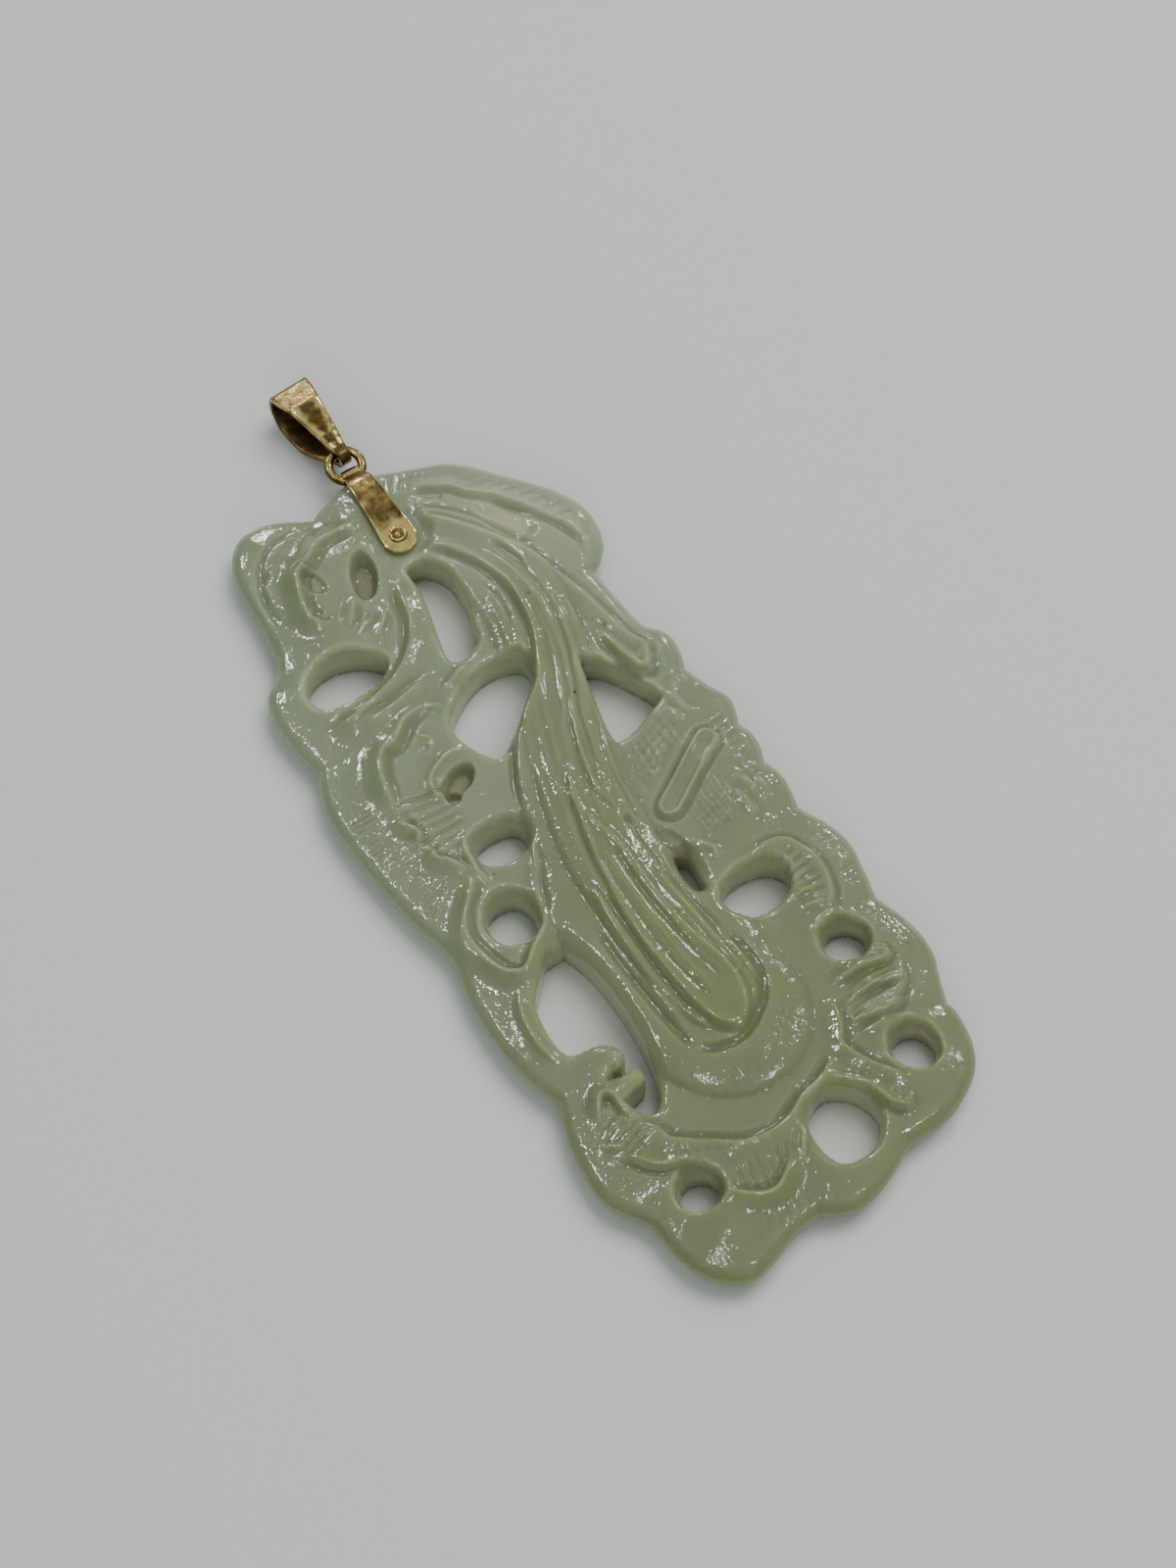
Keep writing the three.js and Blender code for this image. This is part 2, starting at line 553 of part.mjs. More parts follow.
// A pin with a raised eye at each end: a small dome in the middle of a groove and a rim.
function rivetGeometry() {
  const eye = (base, height) => eyeSection.map(([r, h]) => [r * rivetHeadRadius, base + h * height]);
  const top = frontLeaf + strapThickness / 2 + headPlay;
  const bottom = backLeaf - strapThickness / 2 - headPlay;
  const lower = eye(bottom, -rivetHeadHeight).reverse();
  const profile = [...lower, [rivetRadius, bottom], [rivetRadius, top], ...eye(top, rivetHeadHeight)];
  const points = profile.map(([r, z]) => new THREE.Vector2(r, z));
  return new THREE.LatheGeometry(points, roundFacets).rotateX(Math.PI / 2);
}

function ringGeometry() {
  const ring = new THREE.TorusGeometry(ringRadius, wireRadius, 10, 28).rotateX(ringLean);
  return ring.translate(0, (ringAt - ringRadius + wireAt) / 2, (ringHeight + wireHeight) / 2);
}

// The bail's side view above its foot, up the back, over the crown and down the front: shares of its
// length above the wire, and of its depth above the table.
const bailSide = [
  [0.1, 0.41], [0.22, 0.27], [0.41, 0.1], [0.63, 0.02], [0.77, 0.1], [0.87, 0.27],
  [0.9, 0.51], [0.86, 0.71], [0.76, 0.88], [0.56, 0.97], [0.355, 0.91], [0.11, 0.83],
];
const bailWidest = 0.9; // share of its length where the bail is widest
const bailFlare = 0.75; // less than 1: it widens quickly at first

// The bail in side view: a drop that hugs the ring's wire and widens to a broad crown.
function bailGeometry() {
  const hug = wireRadius + bailGap + bailThickness / 2;
  const foot = Array.from({ length: 9 }, (_, k) => {
    const a = (Math.PI * k) / 8;
    return [wireAt - hug * Math.sin(a), wireHeight + hug * Math.cos(a)];
  });
  const side = bailSide.map(([up, out]) => {
    return [wireAt + up * bailLength, bailRest + bailThickness / 2 + out * (bailDepth - bailThickness)];
  });
  const loop = [...foot, ...side].map(([y, z]) => new THREE.Vector3(0, y, z));
  const curve = new THREE.CatmullRomCurve3(loop, true);
  const path = curve.getSpacedPoints(64).slice(0, -1).map((p) => {
    const t = THREE.MathUtils.clamp((p.y - wireAt) / (bailWidest * bailLength), 0, 1) ** bailFlare;
    return [p.y, p.z, THREE.MathUtils.lerp(bailFootWidth, bailTopWidth, t) / 2];
  });
  const bail = bandGeometry(path, bailThickness, true).translate(0, -wireAt, 0);
  return bail.rotateZ(THREE.MathUtils.degToRad(bailTurn)).translate(bailShift, wireAt, 0);
}

// Colours and the scene graph.

const jade = new THREE.MeshStandardMaterial({ color: 0xa9b695, roughness: 0.22, metalness: 0 });
const gold = new THREE.MeshStandardMaterial({ color: 0xb08a52, roughness: 0.32, metalness: 1 });

function piece(name, geometry, material, parent) {
  const mesh = new THREE.Mesh(geometry, material);
  mesh.name = name;
  parent.add(mesh);
  return mesh;
}

const pendant = new THREE.Group();
piece("jade_carving", piercedJade(), jade, pendant);
const hanging = new THREE.Group();
hanging.position.set(rivetAt[0], rivetAt[1], 0);
hanging.rotation.z = strapAngle;
pendant.add(hanging);
piece("strap", strapGeometry(), gold, hanging);
piece("rivet", rivetGeometry(), gold, hanging);
piece("link_ring", ringGeometry(), gold, hanging);
piece("bail", bailGeometry(), gold, hanging);

// The whole is moved so that the middle of its footprint is the origin.
const box = new THREE.Box3().setFromObject(pendant);
pendant.position.set(-(box.min.x + box.max.x) / 2, -(box.min.y + box.max.y) / 2, -box.min.z);

export default pendant;
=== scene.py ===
import math
import bpy
import numpy as np
from mathutils import Matrix, Vector
from mathutils.geometry import delaunay_2d_cdt


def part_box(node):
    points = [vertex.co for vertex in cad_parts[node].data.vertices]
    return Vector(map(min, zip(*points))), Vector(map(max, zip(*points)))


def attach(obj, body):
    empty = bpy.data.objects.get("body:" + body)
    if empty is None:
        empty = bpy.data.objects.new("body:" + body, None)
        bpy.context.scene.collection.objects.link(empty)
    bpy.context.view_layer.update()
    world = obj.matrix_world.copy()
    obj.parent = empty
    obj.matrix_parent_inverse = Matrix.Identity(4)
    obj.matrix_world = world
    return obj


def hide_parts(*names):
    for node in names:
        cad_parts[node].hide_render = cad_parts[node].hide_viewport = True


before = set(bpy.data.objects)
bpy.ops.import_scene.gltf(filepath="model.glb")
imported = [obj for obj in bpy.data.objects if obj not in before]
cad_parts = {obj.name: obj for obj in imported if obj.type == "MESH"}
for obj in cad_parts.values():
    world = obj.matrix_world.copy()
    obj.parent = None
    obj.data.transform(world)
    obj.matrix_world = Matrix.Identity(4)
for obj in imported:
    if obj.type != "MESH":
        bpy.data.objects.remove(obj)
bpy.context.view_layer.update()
print("frame loaded")

mm = 0.001

# plan points are millimetres on the carving lying face up, its bail towards +Y
rivetPlan = (2.85, 29.75)
rivetLow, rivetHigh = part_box("rivet")
planShift = np.array([(rivetLow[i] + rivetHigh[i]) / 2 / mm - rivetPlan[i] for i in (0, 1)])

# sizes of the jade, in millimetres
jade = {
    "step": 0.158,         # spacing of the surface lattice
    "edgeMiddle": 1.55,    # height of the widest line of the edge
    "borderLow": 2.2,      # face at the border, and its rise from there
    "borderRise": 1.25,
    "borderWidth": 3.9,
    "leafDish": 0.35,      # hollow of the leaves towards the stem
    "backReach": 1.3,      # rounding of the back's border
    "outerRound": 0.8,     # how far each kind of edge is rounded inwards, and the height of its crown
    "outerCrown": 1.6,
    "holeRound": 0.25,
    "holeCrown": 0.5,
    "boreRound": 0.12,
    "boreRadius": 0.5,
    "ridgeWidth": 0.8,     # shares of the half widths and heights in the tables of ridges
    "ridgeRise": 1.15,
    "fluteRise": 1.3,      # the same for the depths of the veins
    "ribRise": 0.045,      # fine ribs along the stalk, and how many lie across half of it
    "ribCount": 3.5,
    "unevenness": 0.03,
    "usualFace": 3.5,      # height of the face that the rounding is first worked out with
    "thinFace": 2.4,       # the jade looks olive from this height, fully so after the given rise
    "thickRise": 2.6,
    "dirtAndShadeDepth": 0.3,     # hollows this deep get the most painted shade and dirt
    "seatFace": 2.95,      # flats cut for the strap
    "seatBack": 0.78,
    "seatHalfWidth": 1.5,
    "seatBlend": 1.2,
    "seatRaise": 0.25,     # of the edge's widest line under the strap
}
hangerTurn = math.radians(-3.6)  # the strap leans to the left by this much

# outer line, anticlockwise from the notch left of the strap: one list of points for each lobe
outlineLobes = [
    [(-0.95, 35.15), (-3.15, 36.5), (-4.8, 36.9), (-6.1, 36.7), (-7.3, 35.6), (-8.1, 33.6), (-8.45, 30.6),
        (-9.05, 27.0)],
    [(-9.05, 27.0), (-9.7, 25.9), (-11.1, 24.8), (-11.8, 23.0), (-11.9, 20.9), (-11.6, 17.7)],
    [(-11.6, 17.7), (-12.1, 16.8), (-12.8, 14.6), (-13.0, 11.8), (-12.9, 8.6), (-12.5, 4.2), (-12.05, 1.9),
        (-12.0, 0.1)],
    [(-12.0, 0.1), (-12.55, -1.8), (-12.85, -3.6), (-13.0, -6.7), (-12.75, -9.4), (-12.1, -12.0)],
    [(-12.1, -12.0), (-13.1, -14.6), (-13.65, -17.7), (-13.5, -19.8), (-12.4, -21.8), (-12.0, -22.7)],
    [(-12.0, -22.7), (-11.9, -25.2), (-11.1, -27.5), (-9.1, -29.15), (-7.0, -28.9), (-4.6, -28.1),
        (-2.85, -27.95)],
    [(-2.85, -27.95), (-1.7, -28.7), (-0.2, -29.1), (2.0, -28.6), (4.8, -27.3)],
    [(4.8, -27.3), (6.5, -27.35), (8.6, -27.0), (11.1, -25.6), (12.3, -23.8), (12.8, -21.6), (12.7, -20.5)],
    [(12.7, -20.5), (13.4, -18.8), (14.1, -17.2), (14.3, -15.6), (14.1, -13.8), (13.5, -11.6)],
    [(13.5, -11.6), (14.1, -9.4), (14.5, -7.3), (14.25, -5.5), (13.3, -3.1)],
    [(13.3, -3.1), (13.75, -1.5), (13.85, -0.1), (13.5, 1.1)],
    [(13.5, 1.1), (14.0, 2.3), (14.1, 3.5), (13.8, 4.5)],
    [(13.8, 4.5), (14.35, 5.7), (14.45, 6.8), (13.9, 8.2), (13.35, 10.2)],
    [(13.35, 10.2), (13.8, 11.3), (14.05, 12.5), (13.8, 13.6), (13.1, 14.5), (12.85, 15.6), (12.75, 18.0),
        (12.7, 20.2)],
    [(12.7, 20.2), (13.6, 20.75), (14.6, 21.9), (15.15, 23.8), (15.0, 25.7), (13.9, 28.0), (11.85, 30.8),
        (10.4, 32.7), (9.2, 33.8), (7.7, 34.5)],
    [(7.7, 34.5), (6.3, 35.1), (4.9, 35.65), (3.5, 36.1), (2.3, 36.15), (1.0, 35.9), (0.0, 35.6),
        (-0.95, 35.15)],
]

# pierced holes: the strokes of each rim, which meet in corners; a single stroke closes smoothly
holeStrokes = {
    "upperLeft": [[(-9.1, 22.6), (-8.3, 23.9), (-6.8, 24.4), (-5.2, 24.1), (-3.8, 23.1), (-3.2, 21.9),
        (-4.3, 21.0), (-6.4, 20.6), (-7.9, 20.7), (-8.8, 21.3)]],
    "belowStrap": [[(2.0, 27.3), (3.3, 27.2), (4.1, 25.6), (3.9, 23.0), (3.2, 20.9), (2.9, 19.9),
        (2.1, 19.3), (1.2, 19.0), (0.5, 19.3), (0.4, 20.0), (0.8, 21.6), (1.5, 24.0), (1.8, 25.6)]],
    "leftTriangle": [[(-1.0, 11.1), (0.3, 11.9), (1.8, 13.0), (3.6, 14.2), (4.4, 15.6), (4.3, 17.0),
        (2.6, 17.7), (0.6, 17.4), (-1.7, 16.0), (-2.5, 14.4), (-2.1, 12.6), (-1.6, 11.6)]],
    "rightTriangle": [[(7.5, 14.0), (8.5, 13.5), (9.5, 11.7), (10.3, 9.7), (10.2, 8.7), (9.0, 8.1),
        (7.3, 7.6), (6.1, 7.6), (6.0, 8.5), (6.5, 10.7), (7.0, 12.6)]],
    "keyhole": [
        [(-5.6, -3.0), (-6.9, -3.0), (-7.7, -3.7), (-8.6, -4.6), (-9.4, -5.5), (-9.8, -6.7), (-10.0, -8.5),
            (-9.8, -9.7), (-9.2, -10.1), (-8.3, -10.3), (-7.5, -10.6), (-7.0, -11.2), (-6.8, -11.9),
            (-7.4, -12.5), (-8.1, -12.5), (-8.7, -12.8)],
        [(-8.7, -12.8), (-7.9, -13.1), (-6.9, -13.1), (-6.5, -13.7), (-6.9, -14.2), (-7.9, -14.5),
            (-8.7, -14.9)],
        [(-8.7, -14.9), (-8.4, -15.9), (-7.7, -16.4), (-7.0, -16.1), (-6.3, -15.0), (-5.6, -12.8),
            (-5.2, -10.5), (-5.0, -8.0), (-5.1, -5.0), (-5.6, -3.0)],
    ],
    "bottom": [[(0.1, -22.6), (1.0, -21.7), (2.1, -21.3), (3.2, -21.8), (4.0, -23.0), (4.2, -24.4),
        (3.7, -25.5), (2.7, -26.2), (1.4, -26.4), (0.3, -26.1), (-0.2, -25.3), (-0.3, -24.0)]],
    "rightOval": [[(4.6, -6.9), (5.5, -5.5), (7.1, -5.1), (8.8, -5.6), (9.6, -6.8), (8.8, -8.3),
        (7.1, -8.8), (5.4, -8.3)]],
    "slit": [[(4.2, -1.7), (4.9, -2.1), (4.8, -3.5), (4.5, -4.8), (3.9, -5.0), (3.6, -4.2), (3.8, -2.7)]],
    "leftUpper": [[(-6.4, 5.7), (-5.9, 6.8), (-4.6, 7.1), (-3.2, 6.7), (-2.8, 5.7), (-3.4, 4.7),
        (-4.8, 4.4), (-6.0, 4.8)]],
    "leftLower": [[(-8.8, 0.6), (-8.3, 1.9), (-7.2, 2.3), (-6.1, 1.9), (-5.7, 0.6), (-6.2, -0.9),
        (-7.3, -1.3), (-8.4, -0.8)]],
    "rightRound": [[(8.3, -13.4), (8.7, -12.3), (9.7, -11.9), (10.7, -12.4), (11.1, -13.4), (10.7, -14.3),
        (9.7, -14.8), (8.7, -14.3)]],
    "lowerRight": [[(7.4, -22.1), (7.9, -21.0), (8.9, -20.6), (9.9, -21.1), (10.2, -22.2), (9.8, -23.2),
        (8.8, -23.6), (7.8, -23.1)]],
    "lowerLeft": [[(-9.6, -22.5), (-9.2, -21.6), (-8.3, -21.2), (-7.4, -21.6), (-7.0, -22.5),
        (-7.4, -23.4), (-8.3, -23.8), (-9.2, -23.4)]],
}

# how far the face falls towards the rim of a hole, and from how far off; the small ones are cones
holeFall = {"leftUpper": (0.9, 0.6), "leftLower": (0.9, 0.6), "rightRound": (1.0, 0.55),
            "lowerRight": (1.0, 0.55), "lowerLeft": (1.0, 0.5), "keyhole": (0.3, 0.8), "bottom": (0.5, 0.6),
            "slit": (0.6, 0.8)}
plainFall = (0.15, 0.5)

# blind pockets in the face: centre, two radii, turn in degrees, depth, share of brown (below 0: paler, by
# the painted glow of the hole walls)
pockets = [
    ((-0.8, 28.5), (0.95, 1.9), -25, 1.3, 1.0),
    ((-4.4, 11.2), (1.5, 0.9), 25, 1.1, 0.9),
    ((-5.3, 10.4), (0.8, 0.6), 60, 0.5, 0.5),
    ((9.7, 26.6), (1.3, 2.4), 25, 0.5, -0.8),
    ((4.6, -1.0), (0.7, 1.6), 15, 0.3, 0.5),
    ((-4.0, 29.9), (0.65, 1.25), 10, 0.45, 0.1),
    ((-6.5, 32.3), (0.5, 0.5), 0, 0.25, 0.1),
    ((2.9, 1.6), (0.4, 0.4), 0, 0.3, 0.1),
    ((-10.9, 6.3), (0.8, 0.8), 0, 0.1, 0.0),
]

# the cabbage: plan point, half width and rise at each place, for the outer bowl and the stalk on it
bowlLine = [(-0.1, -13.7, 5.7, 1.25), (-0.1, -8.0, 5.7, 1.25), (-0.5, -3.0, 5.2, 1.2), (0.0, 1.0, 4.3, 1.05),
            (1.5, 6.0, 3.8, 0.95), (3.7, 11.5, 3.3, 0.85), (5.7, 16.0, 3.1, 0.8), (6.9, 20.5, 3.0, 0.7),
            (6.6, 25.0, 2.8, 0.5), (4.9, 29.3, 2.2, 0.3)]
stalkLine = [(0.2, -12.3, 2.7, 0.75), (-0.1, -6.0, 2.9, 0.75), (0.3, 0.5, 2.9, 0.62), (1.9, 6.3, 2.8, 0.5),
             (3.9, 11.6, 2.6, 0.4), (5.9, 16.5, 2.4, 0.3), (6.9, 21.0, 2.2, 0.15)]

# ridges: half width, height, which side falls steeply (1 left of the way, -1 right, 0 both alike), crest
stemRidges = [
    (0.6, 0.26, 0, [(1.0, 6.6), (0.7, 4.2), (1.3, 0.0), (1.1, -3.9), (1.3, -7.8), (1.9, -10.6),
        (1.8, -12.8), (1.2, -14.3)]),
    (0.55, 0.24, 1, [(1.9, -10.6), (1.8, -12.8), (1.2, -14.3), (0.3, -14.9), (-0.7, -14.1), (-1.3, -12.2),
        (-1.5, -8.2), (-1.4, -5.0), (-0.9, -1.6), (0.1, 2.6), (1.3, 6.0), (2.1, 7.6)]),
    (0.5, 0.2, 0, [(-1.6, -0.6), (-2.3, -3.6), (-2.6, -7.5), (-2.7, -11.0), (-2.5, -13.4)]),
    (0.45, 0.16, 0, [(2.1, -2.0), (2.4, -6.9), (2.6, -9.4), (2.7, -12.0)]),
    (0.45, 0.12, 0, [(0.3, 1.4), (-0.1, -2.0), (-0.2, -7.0), (0.1, -12.5)]),
    (0.6, 0.22, 0, [(2.4, 4.0), (3.0, 7.0), (4.3, 10.0), (5.9, 13.0), (6.9, 16.0), (7.6, 19.4),
        (7.6, 23.2), (6.9, 26.2)]),
    (0.55, 0.2, 0, [(3.9, 2.4), (4.5, 5.6), (5.5, 8.6)]),
    (0.65, 0.4, 1, [(-1.8, 7.2), (-0.9, 9.1), (0.5, 11.2), (2.1, 12.7), (4.2, 14.3), (5.6, 16.6),
        (6.4, 18.8), (6.8, 21.2), (6.7, 23.2), (6.3, 24.9), (5.2, 27.0), (4.0, 28.4)]),
    (0.5, 0.2, 0, [(3.4, 10.0), (4.9, 12.4), (6.2, 15.2), (7.0, 18.4), (7.3, 21.2), (7.0, 23.4)]),
    (0.5, 0.24, 1, [(-2.9, 4.6), (-3.7, 3.0), (-4.7, 1.2), (-5.2, -0.6)]),
]
leafRidges = [
    (0.8, 0.55, 1, [(4.6, 30.0), (6.1, 28.4), (7.8, 25.8), (8.8, 23.9), (9.7, 21.7), (10.4, 19.2),
        (10.9, 16.2), (11.3, 13.8), (11.7, 12.9), (11.5, 11.9), (11.0, 11.1), (10.5, 11.1), (10.1, 12.0),
        (9.9, 13.4), (9.9, 15.5)]),
    (0.5, 0.25, 0, [(9.6, 18.9), (9.2, 18.2), (9.0, 17.0), (8.7, 15.8)]),
    (0.85, 0.5, -1, [(0.6, 26.6), (0.15, 24.9), (-0.3, 23.3), (-1.6, 21.5), (-3.3, 20.3), (-5.3, 19.6),
        (-7.4, 19.0), (-9.6, 19.0)]),
    (0.75, 0.4, -1, [(-1.6, 19.0), (-4.2, 18.5), (-7.9, 17.9)]),
    (0.6, 0.35, 0, [(0.8, 18.4), (-0.4, 17.8), (-1.5, 17.5)]),
    (0.8, 0.5, 1, [(1.3, 32.2), (-0.6, 32.4), (-2.1, 32.3), (-3.3, 31.5), (-4.6, 30.9), (-5.2, 29.7),
        (-5.7, 28.3), (-5.5, 26.8), (-4.6, 26.3)]),
    (0.55, 0.4, 1, [(-2.1, 27.4), (-3.0, 26.3), (-4.0, 25.1)]),
    (0.55, 0.35, 1, [(-1.0, 25.3), (-1.8, 24.4), (-2.7, 23.7)]),
    (0.5, 0.25, 0, [(-6.9, 30.4), (-6.6, 31.9), (-5.4, 32.6)]),
    (0.8, 0.5, 1, [(-3.0, 17.4), (-4.9, 16.9), (-6.4, 15.8), (-7.6, 15.5), (-8.5, 14.2), (-8.9, 12.8),
        (-9.3, 11.4)]),
    (0.6, 0.45, 1, [(-9.2, 10.9), (-9.4, 10.3), (-8.9, 9.0), (-9.4, 8.4)]),
    (0.6, 0.45, 1, [(-9.4, 8.4), (-8.9, 7.4), (-9.0, 6.8), (-8.4, 6.0), (-7.6, 4.4)]),
    (0.55, 0.35, 0, [(-2.1, 16.5), (-3.2, 17.1)]),
    (0.6, 0.35, 0, [(-3.0, 13.9), (-3.3, 13.2), (-4.6, 12.9), (-5.9, 12.2), (-6.3, 10.9), (-5.7, 9.5)]),
    (0.5, 0.25, 0, [(-5.7, 14.9), (-4.8, 15.4), (-4.2, 14.6), (-4.9, 14.0), (-5.7, 14.3)]),
    (0.6, 0.4, 0, [(-6.0, 7.6), (-6.9, 6.5), (-7.3, 4.4), (-7.0, 3.0)]),
    (0.7, 0.5, -1, [(-5.3, 0.2), (-6.0, -1.4), (-7.3, -2.4), (-8.8, -3.5), (-9.9, -2.8), (-10.4, -0.8),
        (-10.5, 0.8), (-9.9, 2.0), (-8.5, 3.3), (-7.6, 4.4)]),
    (0.6, 0.3, 0, [(-9.6, -4.2), (-10.6, -5.6), (-11.0, -8.0), (-10.7, -10.3)]),
    (0.7, 0.45, -1, [(5.1, 32.6), (6.1, 32.4), (7.2, 31.6), (8.1, 31.0), (8.6, 30.2), (9.4, 29.4),
        (10.1, 28.8), (10.8, 27.7), (11.3, 26.9), (12.0, 25.5), (12.6, 24.5), (13.1, 23.3), (13.4, 22.2),
        (13.1, 21.4)]),
    (0.7, 0.42, 1, [(7.9, -5.2), (9.3, -5.0), (10.5, -5.3), (11.1, -6.3), (11.5, -7.9), (11.2, -9.4),
        (10.5, -10.7), (9.4, -11.3)]),
    (0.5, 0.35, 0, [(8.6, -9.2), (9.9, -9.3)]),
    (0.5, 0.35, 0, [(8.4, -10.2), (10.3, -10.7)]),
    (0.5, 0.35, 0, [(7.9, -11.8), (9.2, -11.8), (10.8, -11.2)]),
    (0.6, 0.42, -1, [(6.5, -15.9), (8.6, -15.9), (10.8, -16.3), (11.2, -15.7), (10.2, -15.2)]),
    (0.6, 0.42, -1, [(7.0, -17.4), (9.0, -17.5), (10.6, -17.8), (11.3, -16.9)]),
    (0.7, 0.45, -1, [(5.9, -18.6), (7.4, -19.1), (9.0, -19.4), (10.6, -18.4), (11.6, -17.0)]),
    (0.5, 0.3, 0, [(6.6, -19.7), (8.9, -20.0)]),
    (0.65, 0.42, 1, [(6.3, -16.4), (5.9, -17.8), (5.4, -18.9), (4.9, -19.6), (5.1, -20.6), (5.6, -22.0),
        (6.1, -22.9), (7.0, -24.2)]),
    (0.65, 0.4, -1, [(3.1, -21.3), (3.8, -22.4), (4.6, -23.4), (5.1, -24.8), (6.0, -25.5), (6.6, -24.7)]),
    (0.6, 0.4, -1, [(-11.7, -18.0), (-10.8, -18.5), (-10.1, -19.5), (-9.2, -20.3), (-8.0, -20.6),
        (-7.1, -21.0)]),
    (0.8, 0.48, 1, [(-9.2, -16.9), (-8.4, -17.6), (-8.1, -18.8), (-7.3, -19.6), (-5.9, -20.6),
        (-4.3, -21.7), (-2.8, -22.2), (-1.2, -22.1), (0.6, -21.3), (2.2, -21.0), (3.5, -20.3),
        (4.1, -19.8)]),
    (0.65, 0.42, 1, [(-6.7, -23.0), (-6.9, -24.1), (-5.6, -25.2), (-4.3, -25.5), (-2.9, -24.7),
        (-2.2, -24.0)]),
    (0.5, 0.3, 0, [(-2.2, -25.2), (-1.3, -24.1), (-0.5, -23.0), (0.1, -22.3)]),
    (0.6, 0.45, -1, [(-11.0, -15.3), (-10.4, -14.3), (-9.8, -13.7), (-9.3, -14.2), (-9.2, -15.4),
        (-9.1, -16.4)]),
    (0.45, 0.3, 0, [(-11.5, -16.8), (-10.8, -17.5)]),
    (0.6, 0.35, 0, [(10.6, 0.9), (11.2, -0.2), (11.4, -1.6)]),
    (0.5, 0.3, 0, [(11.8, 0.3), (12.1, -1.7)]),
    (0.6, 0.35, 0, [(10.2, -0.3), (10.2, -2.3), (9.6, -3.0)]),
    (0.6, 0.35, 0, [(5.7, -1.9), (6.4, -3.1), (6.2, -4.0)]),
    (0.55, 0.3, 0, [(11.1, 8.8), (10.9, 7.9), (11.0, 7.0), (11.5, 6.5)]),
    (0.45, 0.3, 0, [(10.2, 7.3), (10.2, 6.3)]),
    (0.6, 0.35, 0, [(11.7, 11.0), (12.4, 12.0), (12.2, 13.2)]),
]

# incised lines: half width, depth, points
grooves = [
    (0.5, 0.38, [(-3.3, -14.9), (-2.0, -15.6), (-0.4, -15.9), (1.2, -15.3), (2.5, -14.3), (3.3, -13.0),
        (3.6, -11.6), (3.5, -9.0)]),
    (0.4, 0.25, [(-3.6, -4.0), (-3.7, -8.0), (-3.6, -12.0), (-3.3, -14.9)]),
    (0.35, 0.2, [(3.1, 2.2), (2.7, -1.0), (2.8, -5.0), (3.2, -9.0)]),
    (0.3, 0.18, [(3.2, 5.2), (4.6, 9.6), (5.9, 12.4), (7.3, 15.6), (8.1, 19.0), (8.2, 22.6), (7.5, 25.6)]),
    (0.28, 0.16, [(2.6, 2.2), (2.1, 4.4), (2.7, 7.2), (4.0, 10.4)]),
    (0.28, 0.16, [(3.7, 1.8), (4.0, 4.6), (5.0, 8.0), (6.2, 11.0)]),
    (0.25, 0.14, [(-0.5, 0.5), (-0.9, -4.0), (-1.0, -9.0), (-0.6, -12.6)]),
    (0.25, 0.14, [(0.6, 0.0), (0.3, -4.0), (0.5, -9.0), (1.0, -12.2)]),
    (0.3, 0.2, [(-1.9, -1.0), (-2.0, -5.0), (-2.2, -9.5), (-2.0, -13.0)]),
    (0.3, 0.2, [(5.3, 23.0), (5.6, 21.6), (5.4, 20.0), (4.9, 18.6)]),
    (0.45, 0.3, [(3.0, 31.0), (5.0, 30.9), (7.2, 29.0), (8.9, 26.2), (10.0, 23.2)]),
    (0.4, 0.25, [(-2.2, 34.6), (-4.6, 34.4), (-6.4, 33.2), (-7.4, 31.0), (-7.7, 28.4)]),
    (0.25, 0.15, [(-3.2, 30.6), (-4.0, 31.4), (-5.0, 31.2)]),
    (0.3, 0.2, [(-5.7, 27.2), (-5.2, 27.6), (-4.7, 27.8)]),
    (0.3, 0.2, [(-5.3, 27.0), (-4.9, 26.8), (-4.5, 26.7)]),
]

